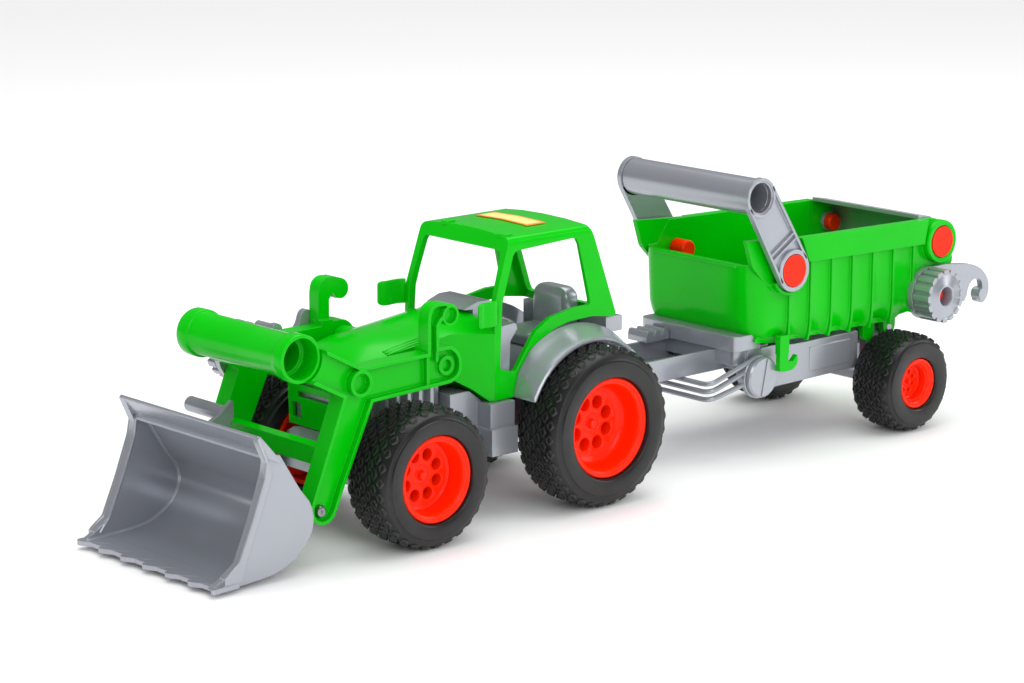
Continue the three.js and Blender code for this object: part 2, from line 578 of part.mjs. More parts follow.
const TUB = [
  [127.7, 130.4], [132.6, 114.4], [134.4, 82, 6], [141, 70.4, 6], [153, 66.2, 3], [263, 63.8, 2], [268.6, 66.6],
  [311.5, 94.8, 3], [309.5, 104], [306.5, 112, 4], [303, 120, 5], [293, 124.6, 5], [279, 124.6], [172, 127.3],
]
const TUB_ROOM = [
  [130.4, 132], [134.9, 115], [136.8, 82.6, 5], [143, 72.4, 5], [153.5, 68.6], [266, 68.2], [290, 83.4],
  [290, 70], [330, 70], [330, 140], [128, 140],
]

// A tall box with round front corners, which the tub and its hollow are trimmed by.
const cornered = (half, front, radius) =>
  plan([[half, front, radius], [half, 400], [-half, 400], [-half, front, radius]], 50, TUB_FRONT_TOP)

// The walls above the front rim: only the sides reach forward here.
const upper = half => block(-half, half, 120, 400, TUB_FRONT_TOP, 150)

function tub() {
  const ribs = Array.from({ length: RIBS }, (_, i) => RIB_FIRST + RIB_PITCH * i).map(y =>
    across([[46, 111], [TUB_RIB, 111], [TUB_RIB, 74], [46, 67, 2]], y - 0.9, y + 0.9))
  const band = side([[172, 127.2], [178.5, 112.2], [281, 109.6], [284, 124.4]], 45.5, TUB_BAND)
  const rearBoss = rod(GATE_PIVOT, 13.2, 45.5, 51.6, 24)
  const lug = (y, reach, x0, x1) => side([
    [y - reach, 69], [y - reach, 57, 3], [y - 2, 52.6, 3], [y + 2, 52.6, 3], [y + reach, 57, 3], [y + reach, 69],
  ], x0, x1)
  const hinge = lug(TIP_PIVOT[0], 5.5, 31.3, 36.3)
  const tongue = lug(TONGUE_Y, 5, 34, 38.4)
  const cradle = cut(rod(HANDLE_PIVOT, 15, 45.5, 51.6, 24), [
    rod(HANDLE_PIVOT, 13.2, 40, 60, 24),
    side([[162, 109.8], [130, 92.5], [130, 140], [200, 140], [200, 71.8]], 40, 60),
  ])
  const outer = side(TUB, -TUB_WALL, TUB_WALL)
  const walls = join([cornered(TUB_WALL, 126, 13), upper(TUB_WALL)]).intersect(outer)
  const frontRim = block(-34, 34, 131.6, 137.5, TUB_FRONT_TOP - 2.4, TUB_FRONT_TOP)
  const left = join([...ribs, band, rearBoss, hinge, tongue, cradle])
  const within = join([cornered(TUB_INNER, 129, 11), upper(TUB_INNER)])
  const room = side(TUB_ROOM, -TUB_INNER, TUB_INNER).intersect(within)
  const overRim = block(-TUB_INNER, TUB_INNER, 120, 150, TUB_FRONT_TOP, 140)
  const body = cut(join([walls, left, mirrored(left)]), [room, overRim])
  return cut(body.add(frontRim), [
    rod(HANDLE_PIVOT, 4 + GAP, -70, 70, 14), rod(GATE_PIVOT, 4 + GAP, -70, 70, 14),
    rod(GATE_PIVOT, CAP_RADIUS + GAP, 50, 60), rod(GATE_PIVOT, CAP_RADIUS + GAP, -60, -50),
    rod(TIP_PIVOT, 2.5 + GAP, -40, 40, 12), rod(CART_GEAR, 3 + GAP, 30, 60, 12),
    rod(CART_GEAR, GEAR_RADIUS + GAP, TUB_WALL, 60, 24),
  ])
}

// The hook under the tub's first rib that holds the tub down on the frame.
function latch() {
  const hook = [
    [153.5, 71], [161, 71], [160.4, 55, 1], [164.6, 54.6], [168.4, 58.4, 1], [168.6, 52.6, 2], [164, 49.4, 2],
    [153.5, 49.4, 2],
  ]
  return side(hook, 47.8, 51.2).add(block(47.1, 51.2, 153.5, 161, 60, 71))
}

function handleArm() {
  const outline = link(HANDLE_PIVOT, 12.6, HANDLE_TUBE, 11.6, 10)
  const arm = side(outline, HANDLE_IN, HANDLE_OUT)
  const [dy, dz] = [HANDLE_TUBE[0] - HANDLE_PIVOT[0], HANDLE_TUBE[1] - HANDLE_PIVOT[1]]
  const along = t => [HANDLE_PIVOT[0] + dy * t, HANDLE_PIVOT[1] + dz * t]
  const panel = side(link(along(0.34), 9.4, along(0.62), 8.8, 6), HANDLE_OUT - 1.6, 60)
  return cut(arm, [
    panel, rod(HANDLE_PIVOT, CAP_RADIUS + GAP, HANDLE_OUT - 1.6, 60), rod(HANDLE_PIVOT, 4 + GAP, 40, 60, 14),
    rod(HANDLE_TUBE, HANDLE_BORE, 40, 60, 20),
  ])
}

function handleTube() {
  const half = HANDLE_IN - GAP
  return turned([[10.8, half], [10.8, -half], [HANDLE_BORE, -half], [HANDLE_BORE, half]], HANDLE_TUBE, 20)
}

// A round red cap whose stem runs through the tub wall to a small knob inside.
function cap(centre, face, knobOut, knob) {
  const profile = [
    [0, face], [CAP_RADIUS, face], [CAP_RADIUS, face - 1.5], [4, face - 1.5], [4, knobOut], [5.6, knobOut],
    [5.6, knobOut - knob + 0.8], [4.8, knobOut - knob], [0, knobOut - knob],
  ]
  return turned(profile, centre, 20)
}

const GATE = [
  [281.6, 126.5], [292.6, 124.7], [301, 119.5], [306.2, 111], [308, 101], [306, 91.5], [300.6, 86], [293.4, 83.9],
  [293.6, 86.3], [299.2, 87.9], [303.6, 92.5], [305.5, 101], [303.8, 110.1], [299.4, 117.3], [291.8, 122.3],
  [281.6, 124.1],
]

function tailgate() {
  const half = TUB_INNER - GAP
  const shell = side(GATE, -half, half)
  const ear = side(link(GATE_PIVOT, 6.6, [305, 103.5], 2.6, 6), half - 2.4, half)
  const eye = rod(GATE_PIVOT, 4 + GAP, -half - 1, half + 1, 14)
  return cut(join([shell, ear, mirrored(ear)]), [eye])
}

// ---------- assembly ----------
wheels('front', FRONT)
wheels('rear', REAR)
wheels('trailer', CART)

put('chassis', chassis(), silver)
put('hitch_pin', hitchPin(), steel)
put('engine_block', engineBlock(), silver)
put('hood_and_cab', cabShell(), green)
put('grille_insert', grilleInsert(), silver)
put('roof_label', roofLabel(), yellow)
put('cab_interior', cabTub(), silver)
put('driver_seat', driverSeat(), silver)
putPair('rear_fender', fender(), silver)
putPair('mirror', mirror(), green)

put('loader_arm_left', loaderArm(true), green)
put('loader_arm_right', mirrored(loaderArm(false)), green)
put('loader_grip_tube', gripTube(), green)
put('loader_crossbar', crossBar(), green)
put('loader_hook_lever', mirrored(loaderLever(50.8, 54.8)), silver)
put('loader_gear', mirrored(gear(ELBOW, 55.1, 62.5)), silver)
put('loader_gear_pin', mirrored(gearPin(ELBOW, 38, 60)), red)
put('bucket', bucket(), silver)
put('bucket_tilt_lever', tiltLever(), silver)
putPair('bucket_screw', bucketScrew(), steel)

put('trailer_drawbar', drawbar(), silver)
put('drawbar_tab', drawbarTab(), silver)
put('trailer_frame', trailerFrame(), silver)
put('parking_stand', stand(), silver)
putPair('stand_knob', knob(), silver)
put('trailer_tub', tub(), green)
putPair('tub_latch', latch(), green)
putPair('handle_arm', handleArm(), silver)
put('handle_tube', handleTube(), silver)
putPair('handle_cap', cap(HANDLE_PIVOT, HANDLE_OUT + 0.2, TUB_INNER - GAP, 11), red)
put('tailgate', tailgate(), silver)
putPair('tailgate_cap', cap(GATE_PIVOT, 51.9, TUB_INNER - 3, 4.4), red)
put('trailer_hook_lever', hookLever(CART_GEAR, 47.1, 51.1), silver)
put('trailer_gear', gear(CART_GEAR, 51.4, 64.5), silver)
put('trailer_gear_pin', gearPin(CART_GEAR, 40, 59), red)

// The origin stands on the ground under the middle of the whole object.
const bounds = new THREE.Box3().setFromObject(group)
group.position.y = -(bounds.min.y + bounds.max.y) / 2

export default group
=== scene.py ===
# Toy farm tractor with a front loader and a tipping trailer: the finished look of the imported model.
# Shapes are drawn in millimetres: X runs across, Y back from the tractor's rear axle, Z up from the floor.
import json
import math
import bpy
import bmesh
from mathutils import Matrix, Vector


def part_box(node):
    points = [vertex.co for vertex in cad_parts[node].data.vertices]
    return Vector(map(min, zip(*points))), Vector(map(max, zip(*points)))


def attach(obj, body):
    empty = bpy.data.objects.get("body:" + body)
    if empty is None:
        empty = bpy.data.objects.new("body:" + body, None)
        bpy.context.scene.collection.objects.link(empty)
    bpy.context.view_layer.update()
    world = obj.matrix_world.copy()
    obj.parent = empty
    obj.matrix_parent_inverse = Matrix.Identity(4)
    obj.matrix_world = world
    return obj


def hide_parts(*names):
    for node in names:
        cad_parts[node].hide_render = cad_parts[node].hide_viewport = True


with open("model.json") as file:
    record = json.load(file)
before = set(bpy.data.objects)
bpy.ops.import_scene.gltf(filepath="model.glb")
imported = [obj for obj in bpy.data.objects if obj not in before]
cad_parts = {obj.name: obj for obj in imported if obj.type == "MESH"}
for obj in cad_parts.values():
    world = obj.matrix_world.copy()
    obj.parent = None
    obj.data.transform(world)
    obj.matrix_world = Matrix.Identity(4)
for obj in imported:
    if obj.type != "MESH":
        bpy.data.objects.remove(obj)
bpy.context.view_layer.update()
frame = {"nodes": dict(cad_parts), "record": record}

# ---------- driving dimensions ----------
MM = 0.001
AXLE_LOW, AXLE_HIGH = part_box("rear_axle")
SHIFT = (AXLE_LOW.y + AXLE_HIGH.y) / 2

# The wheels. All tyres end at one plane, TYRE_FACE. y is where the axle is; rim, disc, hub and hole are
# radii; the rim ends at face, its disc lies depth behind that, and its back lies RIM_BACK behind the disc;
# lugs blocks go round, each lug long.
TYRE_FACE = 71
TREAD_DEPTH = 1.4
LUG_ROWS = 7
RIM_HOLES = 8
RIM_DISC_THICK = 8
RIM_BACK = 9
REAR = dict(y=0, radius=45, width=33.9, rim=28.2, face=68.3, depth=15, disc=18.4, hub=6.3, hole=3.8,
            lugs=34, lug=5.9)
FRONT = dict(y=-125.1, radius=38.4, width=34.1, rim=23.6, face=69.1, depth=13, disc=16.8, hub=6, hole=3.3,
             lugs=29, lug=5.9)
CART = dict(y=255.5, radius=30, width=31.6, rim=15.3, face=69.5, depth=9, disc=9.2, hub=3, hole=1.2,
            lugs=25, lug=5.2)

# The loader's grip, and the trailer's handle, its arms between the planes HANDLE_IN and HANDLE_OUT. Tubes,
# pivots and gears are given by their centre (y, z).
GRIP = dict(y=-195.4, z=109.7, half=45.5, collar=12.9, tube=11.6)
HANDLE_TUBE = (132.6, 155.8)
HANDLE_PIVOT = (161.2, 109.7)
HANDLE_IN = 50.6
HANDLE_OUT = 54.2
HANDLE_BORE = 8.8
CAP_RADIUS = 9.4
GATE_PIVOT = (295.6, 109.6)
TRAILER_GEAR = dict(centre=(285.5, 78.7), start=51.4, end=64.5)
LOADER_GEAR = dict(centre=(-160.4, 92.4), start=55.1, end=62.5)

# The trailer tub: wall planes across it, its ribs along it and the lines of its edges (y, z).
TUB_INNER = 44
TUB_WALL = 46.6
TUB_THICK = 2.6
TUB_BAND = 50.2
RIB_FIRST = 163
RIB_PITCH = 18.2
RIBS = 7
RIB_SWELL = 1
RIB_FIN = 1.7
RIB_THICK = 1.3
RIB_PARTS = 10
TUB_SIDE_FRONT = 155
TUB_SIDE_BACK = 282
TUB_FRONT_TOP = 114
TUB_FRONT = [(66, 145), (67.6, 141), (70.4, 138), (74, 136), (82, 134.4), (114.4, 132.6)]
TUB_FOOT = [(130, 66), (153, 65.4), (263, 63.9), (268.6, 66.6), (282, 75.4)]
TUB_HEAD = [(130, 128), (172, 127), (282, 124.4)]
TUB_CORNER = 13

# The parking stand: where each bar starts (y, z) and how high it ends.
STAND_PIVOT = (144.3, 47.2)
STAND_BARS = [((143, 58.8), 48), ((139.5, 53), 43.4), ((137, 45), 38.8)]
STAND_SIDE = 42.4
STAND_END = 104
BAR_RADIUS = 1.5

# The roof label: its crown is (x, z) from the middle outwards.
LABEL = dict(half=21.5, front=-19.5, back=-5.5, crown=[(0, 154.6), (18, 154.1), (21.5, 153.8)])

# The bucket: half widths, and its outlines seen from the side (y, z).
BUCKET_HALF = 60.4
BUCKET_BODY = 58.2
BUCKET_INNER = 55
BUCKET_BACK = [(-262, 2.6), (-241.8, 3), (-223.7, 4.8), (-213.5, 8.8), (-206.3, 13.8), (-201.4, 19.6),
               (-199, 26), (-199, 32), (-201.4, 38.6), (-208, 47.4), (-219.6, 66.2)]
BUCKET_FLOOR = [(-262, 5), (-241.8, 5.6), (-224.5, 7.2), (-214.8, 11), (-208, 15.8), (-203.8, 21),
                (-201.6, 26.6), (-201.6, 31.4), (-203.6, 37.4), (-210, 45.8), (-221.4, 64.4)]
BUCKET_MOUTH = [(-228.6, 67.8), (-230.6, 58), (-238.3, 34.8), (-247.1, 14.1), (-256.1, 8.5), (-264, 4.6)]
BUCKET_FLANGE = [(-219.6, 63), (-233.2, 78.4), (-235.2, 77.4), (-228.4, 66.2), (-222, 63)]
BUCKET_RIM = [(-233.2, 78.4), (-235.2, 77.4), (-229.2, 64), (-231, 56), (-239.4, 34.6), (-248.2, 14.6),
              (-256.8, 9), (-257, 4.4), (-246, 5.4), (-243.4, 14.2), (-234.6, 35.6), (-226, 57)]
BUCKET_PIVOT = (-186.2, 28.3)
TEETH = 7

# How close two points are when they count as one, how short an edge is when it is dropped (both in metres),
# and how far two faces bend apart, in degrees, before the edge between them is an edge to see.
SAME_POINT = 2e-6
NO_LENGTH = 1e-7
EDGE_BEND = 32
CAD_EDGE_BEND = 28

# How many steps a rounded corner has, and how many sides a bent tube and a straight rod have.
BEND_STEPS = 6
TUBE_SIDES = 14
ROD_SIDES = 64

# A radius that closes a turned shape on its axis, and how an outline's (u, v) and its place w along an axis
# become X, Y and Z.
ON_AXIS = 0.001
ALONG = {"x": lambda u, v, w: (w, u, v), "y": lambda u, v, w: (u, w, v), "z": lambda u, v, w: (u, v, w)}

# The view: where the camera stands and looks, in the same millimetres.
CAMERA_AT = (1253.28, -1129.91, 459.82)
CAMERA_TO = (75.0, -78.0, 106.6)
CAMERA_LENS = 108.03
CAMERA_SENSOR = 36


# ---------- points and shells ----------
def metres(point):
    """A point of the drawing in the scene's own metres."""
    x, y, z = point
    return (x * MM, y * MM + SHIFT, z * MM)


def polar(centre, radius, turn):
    """The point at an angle and a radius round a centre."""
    return centre[0] + radius * math.cos(turn), centre[1] + radius * math.sin(turn)


def arc_points(centre, radius, start, end, steps):
    """Points along part of a circle, both ends included."""
    return [polar(centre, radius, start + (end - start) * i / steps) for i in range(steps + 1)]


def bend_round(start, corner, end):
    """The points of a smooth bend that replaces a corner."""
    shares = [k / BEND_STEPS for k in range(BEND_STEPS + 1)]
    return [(1 - t) ** 2 * start + 2 * t * (1 - t) * corner + t ** 2 * end for t in shares]


def rounded(points):
    """An outline with its corners rounded. Each point is (u, v) or (u, v, radius)."""
    path = []
    for i, point in enumerate(points):
        corner = Vector(point[:2])
        if len(point) < 3:
            path.append(corner)
            continue
        sides = [Vector(other[:2]) - corner for other in (points[i - 1], points[(i + 1) % len(points)])]
        radius = min(point[2], 0.45 * sides[0].length, 0.45 * sides[1].length)
        start, end = [corner + away.normalized() * radius for away in sides]
        path += bend_round(start, corner, end)
    return path


def bent_path(points, bend):
    """A line through space with its corners rounded off."""
    path = [Vector(points[0])]
    for before, corner, after in zip(points, points[1:], points[2:]):
        corner = Vector(corner)
        start, end = [corner + (Vector(other) - corner).normalized() * bend for other in (before, after)]
        path += bend_round(start, corner, end)
    return path + [Vector(points[-1])]


def curved(points, steps=5):
    """A smooth line through every one of the points."""
    path = []
    for i in range(len(points) - 1):
        a, b, c, d = [Vector(points[min(max(k, 0), len(points) - 1)]) for k in (i - 1, i, i + 1, i + 2)]
        for k in range(steps):
            t = k / steps
            bend = (2 * a - 5 * b + 4 * c - d) * t ** 2 + (3 * b - a - 3 * c + d) * t ** 3
            path.append(0.5 * (2 * b + (c - a) * t + bend))
    return path + [Vector(points[-1])]


def between(points, where):
    """The height of a bent line at one place; the line holds (place, height) points."""
    if where <= points[0][0]:
        return points[0][1]
    for (u0, v0), (u1, v1) in zip(points, points[1:]):
        if where <= u1:
            return v0 + (v1 - v0) * (where - u0) / (u1 - u0)
    return points[-1][1]


def bands(rings):
    """Open bands of faces from each ring of points to the next. All rings have as many points."""
    count = len(rings[0])
    points = [tuple(point) for ring in rings for point in ring]
    faces = []
    for base in range(0, count * (len(rings) - 1), count):
        for i in range(count):
            j = (i + 1) % count
            faces.append([base + i, base + j, base + count + j, base + count + i])
    return points, faces


def loft(rings):
    """A closed shell over rings of points: bands with a cap at either end."""
    points, faces = bands(rings)
    count = len(rings[0])
    return points, faces + [list(range(count)), list(range(len(points) - count, len(points)))]


def prism(outline, start, end, axis="x"):
    """A closed shell: an outline drawn out along one axis. The outline's own axes follow in X, Y, Z order."""
    path, turned = rounded(outline), ALONG[axis]
    return loft([[turned(u, v, w) for u, v in path] for w in (start, end)])


def block(x0, x1, y0, y1, z0, z1):
    """A closed box between two corners."""
    return prism([(x0, y0), (x1, y0), (x1, y1), (x0, y1)], z0, z1, "z")


def rod(centre, radius, x0, x1):
    """A closed round bar along X."""
    return prism([polar(centre, radius, 2 * math.pi * i / ROD_SIDES) for i in range(ROD_SIDES)], x0, x1)


def lathe(profile, centre, segments=128):
    """A closed shell of revolution round an X-wise axis; the profile holds (radius, x) points."""
    count = len(profile)
    points = [(x, *polar(centre, radius, 2 * math.pi * s / segments)) for s in range(segments)
              for radius, x in profile]
    faces = []
    for s in range(segments):
        for i in range(count):
            a, b = s * count, ((s + 1) % segments) * count
            j = (i + 1) % count
            faces.append([a + i, a + j, b + j, b + i])
    return points, faces


def open_lathe(profile, centre):
    """A surface of revolution that is left open between its profile's last point and its first."""
    points, faces = lathe(profile, centre, 96)
    count = len(profile)
    return points, [face for i, face in enumerate(faces) if i % count != count - 1]


def both_ends(end):
    """A lathe profile that is the same at either end of a tube, from the profile of one end."""
    return end + [(radius, -x) for radius, x in reversed(end)]


def tube_along(path, radius):
    """A closed round tube along a line through space."""
    ways = [(b - a).normalized() for a, b in zip(path, path[1:])]
    ways = [ways[0]] + [(a + b).normalized() for a, b in zip(ways, ways[1:])] + [ways[-1]]
    out = ways[0].orthogonal().normalized()
    turns = [2 * math.pi * i / TUBE_SIDES for i in range(TUBE_SIDES)]
    rings = []
    for place, way in zip(path, ways):
        out = (out - way * out.dot(way)).normalized()
        up = way.cross(out)
        rings.append([place + (out * math.cos(turn) + up * math.sin(turn)) * radius for turn in turns])
    return loft(rings)


def slab(outer, inner, open_at_last=False):
    """A shell between two grids of points with the same rows and columns. It can be left open at its last
    row, where its mirror image is joined on."""
    rows, columns = len(outer), len(outer[0])
    points = [point for grid in (outer, inner) for row in grid for point in row]

    def at(side, row, column):
        return (side * rows + row) * columns + column

    faces = [[at(side, r, c), at(side, r, c + 1), at(side, r + 1, c + 1), at(side, r + 1, c)]
             for side in (0, 1) for r in range(rows - 1) for c in range(columns - 1)]
    edge = [(0, c) for c in range(columns)] + [(r, columns - 1) for r in range(1, rows)]
    edge += [(rows - 1, c) for c in range(columns - 2, -1, -1)] + [(r, 0) for r in range(rows - 2, 0, -1)]
    faces += [[at(0, *a), at(0, *b), at(1, *b), at(1, *a)] for a, b in zip(edge, edge[1:] + edge[:1])
              if not (open_at_last and a[0] == b[0] == rows - 1)]
    return points, faces


def joined(shells):
    """Several shells as one."""
    points, faces = [], []
    for more_points, more_faces in shells:
        base = len(points)
        points += more_points
        faces += [[base + i for i in face] for face in more_faces]
    return points, faces


def mirrored(shell):
    """The same shell on the other side of the middle plane."""
    points, faces = shell
    return [(-x, y, z) for x, y, z in points], [face[::-1] for face in faces]


def mesh_of(name, shell, sharp=EDGE_BEND):
    """A mesh from a shell, with shared points merged. Edges bent more than sharp degrees look sharp."""
    points, faces = shell
    mesh = bpy.data.meshes.new(name)
    mesh.from_pydata([metres(p) for p in points], [], faces)
    work = bmesh.new()
    work.from_mesh(mesh)
    bmesh.ops.remove_doubles(work, verts=work.verts, dist=SAME_POINT)
    bmesh.ops.dissolve_degenerate(work, edges=work.edges, dist=NO_LENGTH)
    bmesh.ops.recalc_face_normals(work, faces=work.faces)
    work.to_mesh(mesh)
    work.free()
    mesh.polygons.foreach_set("use_smooth", [True] * len(mesh.polygons))
    mesh.set_sharp_from_angle(angle=math.radians(sharp))
    return mesh


def round_edges(thing, width):
    """Edges rounded by a modifier, width in millimetres."""
    bevel = thing.modifiers.new("rounded edges", "BEVEL")
    bevel.width = width * MM
    bevel.segments = 3
    bevel.limit_method = "ANGLE"
    bevel.angle_limit = math.radians(EDGE_BEND)
    bevel.harden_normals = True
    even = thing.modifiers.new("even shading", "WEIGHTED_NORMAL")
    even.keep_sharp = True


def make(name, shell, body, finish, stands_for=(), sharp=EDGE_BEND, soften=0):
    """A new piece from closed shells. soften is the width of its rounded edges, in millimetres."""
    thing = bpy.data.objects.new(name, mesh_of(name, shell, sharp))
    bpy.context.scene.collection.objects.link(thing)
    thing.data.materials.append(FINISH[finish])
    if soften:
        round_edges(thing, soften)
    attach(thing, body)
    if stands_for:
        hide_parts(*stands_for)


def refine(node_name, shell, body, finish, sharp=EDGE_BEND, soften=0):
    """A finer piece that takes the place of one CAD node."""
    make(node_name + ".fine", shell, body, finish, [node_name], sharp, soften)


def refine_pair(stem, left, body, finish, sharp=EDGE_BEND, soften=0):
    """The same for a node on the left and for its mirror image on the right."""
    refine(stem + "_left", left, body, finish, sharp, soften)
    refine(stem + "_right", mirrored(left), body, finish, sharp, soften)


# ---------- materials ----------
def link(tree, out, into):
    tree.links.new(out, into)


def node(tree, kind, **values):
    """A new node with its settings and its sockets' values. A socket's name has _ for each space."""
    made = tree.nodes.new(kind)
    for key, value in values.items():
        if hasattr(made, key):
            setattr(made, key, value)
        else:
            made.inputs[key.replace("_", " ")].default_value = value
    return made


def new_material(name):
    """A material, its nodes, its shader and the piece's own coordinates."""
    material = bpy.data.materials.new(name)
    material.use_nodes = True
    tree = material.node_tree
    return material, tree, tree.nodes["Principled BSDF"], node(tree, "ShaderNodeTexCoord").outputs["Object"]


def noise(tree, place, scale, detail=3):
    """A cloudy value at every point of a piece."""
    made = node(tree, "ShaderNodeTexNoise", Scale=scale, Detail=detail, Roughness=0.55)
    link(tree, place, made.inputs["Vector"])
    return made.outputs["Fac"]


def spread(tree, value, low, high, to_low, to_high):
    """A value with its range from low to high mapped onto another range, and held at that range's ends."""
    made = node(tree, "ShaderNodeMapRange", From_Min=low, From_Max=high, To_Min=to_low, To_Max=to_high)
    link(tree, value, made.inputs["Value"])
    return made.outputs["Result"]


def worked_out(tree, kind, operation, first, second):
    """The value that a math node makes of two outputs."""
    made = node(tree, kind, operation=operation)
    link(tree, first, made.inputs[0])
    link(tree, second, made.inputs[1])
    return made.outputs["Value"]


def mixed(tree, share, first, second):
    """A colour between two others. Each of them is a fixed colour or a node's output."""
    made = node(tree, "ShaderNodeMix", data_type="RGBA")
    for socket, colour in (("A", first), ("B", second)):
        target = [s for s in made.inputs if s.name == socket and s.type == "RGBA"][0]
        if isinstance(colour, tuple):
            target.default_value = (*colour, 1)
        else:
            link(tree, colour, target)
    link(tree, share, made.inputs[0])
    return [s for s in made.outputs if s.type == "RGBA"][0]


def linear(code):
    """A colour given as 0xRRGGBB on screen, as the shader wants it."""
    parts = [((code >> shift) & 255) / 255 for shift in (16, 8, 0)]
    return tuple(p / 12.92 if p <= 0.04045 else ((p + 0.055) / 1.055) ** 2.4 for p in parts)


def scaled(colour, share):
    """A colour made darker or lighter."""
    return tuple(min(1, c * share) for c in colour)


def skin(tree, place, scale, strength, depth, under=None):
    """A fine skin texture, laid over another normal where there is one."""
    bump = node(tree, "ShaderNodeBump", Strength=strength, Distance=depth * MM)
    link(tree, noise(tree, place, scale), bump.inputs["Height"])
    if under:
        link(tree, under, bump.inputs["Normal"])
    return bump.outputs["Normal"]


def moulded(name, code, rough, metal=0, coat=0.05, grain=0.01, shine=0.4, even=0.95):
    """Moulded plastic: cloudy tone, uneven gloss, a faint skin texture, rounded edges painted lighter, partly
    as a painted highlight and partly as slight rubbed wear.
    code is its colour, rough its roughness, shine its specular level, and even how evenly they spread."""
    material, tree, shader, place = new_material(name)
    base = linear(code)
    cloud = spread(tree, noise(tree, place, 28), 0.3, 0.7, 0, 1)
    tone = mixed(tree, cloud, scaled(base, even), scaled(base, 2 - even))
    round_normal = node(tree, "ShaderNodeBevel", samples=4, Radius=0.6 * MM).outputs["Normal"]
    flat_normal = node(tree, "ShaderNodeNewGeometry").outputs["Normal"]
    agree = worked_out(tree, "ShaderNodeVectorMath", "DOT_PRODUCT", round_normal, flat_normal)
    # Edges are painted lighter than the faces: partly a painted highlight along each edge, partly slight
    # rubbed wear.
    highlit_and_rubbed = spread(tree, agree, 1, 0.86, 0, 0.5)
    tone = mixed(tree, highlit_and_rubbed, tone, scaled(tuple(c + 0.06 for c in base), 1.35))
    link(tree, tone, shader.inputs["Base Color"])
    smooth, dull = rough * (0.03 + 0.97 * even), rough * (2 - even)
    link(tree, spread(tree, noise(tree, place, 40), 0.25, 0.75, smooth, dull), shader.inputs["Roughness"])
    shader.inputs["Metallic"].default_value = metal
    shader.inputs["Specular IOR Level"].default_value = shine
    shader.inputs["Coat Weight"].default_value = coat
    shader.inputs["Coat Roughness"].default_value = 0.12
    link(tree, skin(tree, place, 420, grain, 0.4, round_normal), shader.inputs["Normal"])
    return material


def rubber(name):
    """Hard tyre vinyl: near black, satin, with a painted highlight along the blocks' sharp edges."""
    material, tree, shader, place = new_material(name)
    base = linear(0x131314)
    patch = spread(tree, noise(tree, place, 60, 4), 0.35, 0.7, 0, 1)
    tone = mixed(tree, patch, scaled(base, 0.8), scaled(base, 1.35))
    # The blocks' sharp edges are painted lighter grey: a painted highlight.
    curve = node(tree, "ShaderNodeNewGeometry").outputs["Pointiness"]
    tone = mixed(tree, spread(tree, curve, 0.52, 0.62, 0, 0.25), tone, linear(0x424240))
    link(tree, tone, shader.inputs["Base Color"])
    link(tree, spread(tree, noise(tree, place, 150), 0.3, 0.7, 0.3, 0.44), shader.inputs["Roughness"])
    link(tree, skin(tree, place, 900, 0.12, 0.3), shader.inputs["Normal"])
    return material


def turned_steel(name):
    """Zinc-plated steel with a finely uneven tone and shine."""
    material, tree, shader, place = new_material(name)
    base = linear(0x9a9ea2)
    tone = mixed(tree, noise(tree, place, 300), scaled(base, 0.75), scaled(base, 1.15))
    link(tree, tone, shader.inputs["Base Color"])
    shader.inputs["Metallic"].default_value = 1
    link(tree, spread(tree, noise(tree, place, 700, 2), 0.3, 0.7, 0.2, 0.4), shader.inputs["Roughness"])
    return material


def bordered_label(name):
    """A blank yellow paper label with an orange border."""
    material, tree, shader, place = new_material(name)
    shift = node(tree, "ShaderNodeVectorMath", operation="SUBTRACT")
    link(tree, place, shift.inputs[0])
    shift.inputs[1].default_value = metres((0, (LABEL["front"] + LABEL["back"]) / 2, 0))
    size = node(tree, "ShaderNodeVectorMath", operation="ABSOLUTE")
    link(tree, shift.outputs["Vector"], size.inputs[0])
    parts = node(tree, "ShaderNodeSeparateXYZ")
    link(tree, size.outputs["Vector"], parts.inputs[0])
    half_wide, half_deep = LABEL["half"] - 2, (LABEL["back"] - LABEL["front"]) / 2 - 1.8
    side = spread(tree, parts.outputs["X"], half_wide * MM, (half_wide + 0.4) * MM, 0, 1)
    end = spread(tree, parts.outputs["Y"], half_deep * MM, (half_deep + 0.4) * MM, 0, 1)
    border = worked_out(tree, "ShaderNodeMath", "MAXIMUM", side, end)
    paper = mixed(tree, noise(tree, place, 200), linear(0xF6D873), linear(0xFBE493))
    link(tree, mixed(tree, border, paper, linear(0xF08A3C)), shader.inputs["Base Color"])
    link(tree, spread(tree, noise(tree, place, 90, 2), 0.3, 0.7, 0.35, 0.5), shader.inputs["Roughness"])
    return material


FINISH = {
    "green_plastic": moulded("green_plastic", 0x00B806, 0.2, shine=0.16),
    "silver_plastic": moulded("silver_plastic", 0xA6AAB2, 0.27, metal=0.58, coat=0.15, grain=0.004,
                              even=0.985),
    "red_plastic": moulded("red_plastic", 0xFA2600, 0.24, shine=0.14),
    "tyre_black": rubber("tyre_black"),
    "steel": turned_steel("steel"),
    "label": bordered_label("label"),
}


# ---------- wheels ----------
def tread_radius(wheel, x):
    """The radius of the tyre's carcass at a distance across it: nearly flat, rounded at both shoulders."""
    half = wheel["width"] / 2
    across = abs(x - (TYRE_FACE - half)) / half
    crown = wheel["radius"] - TREAD_DEPTH
    return crown - 0.5 * across ** 2 - 0.085 * wheel["radius"] * max(0, (across - 0.62) / 0.38) ** 2.2


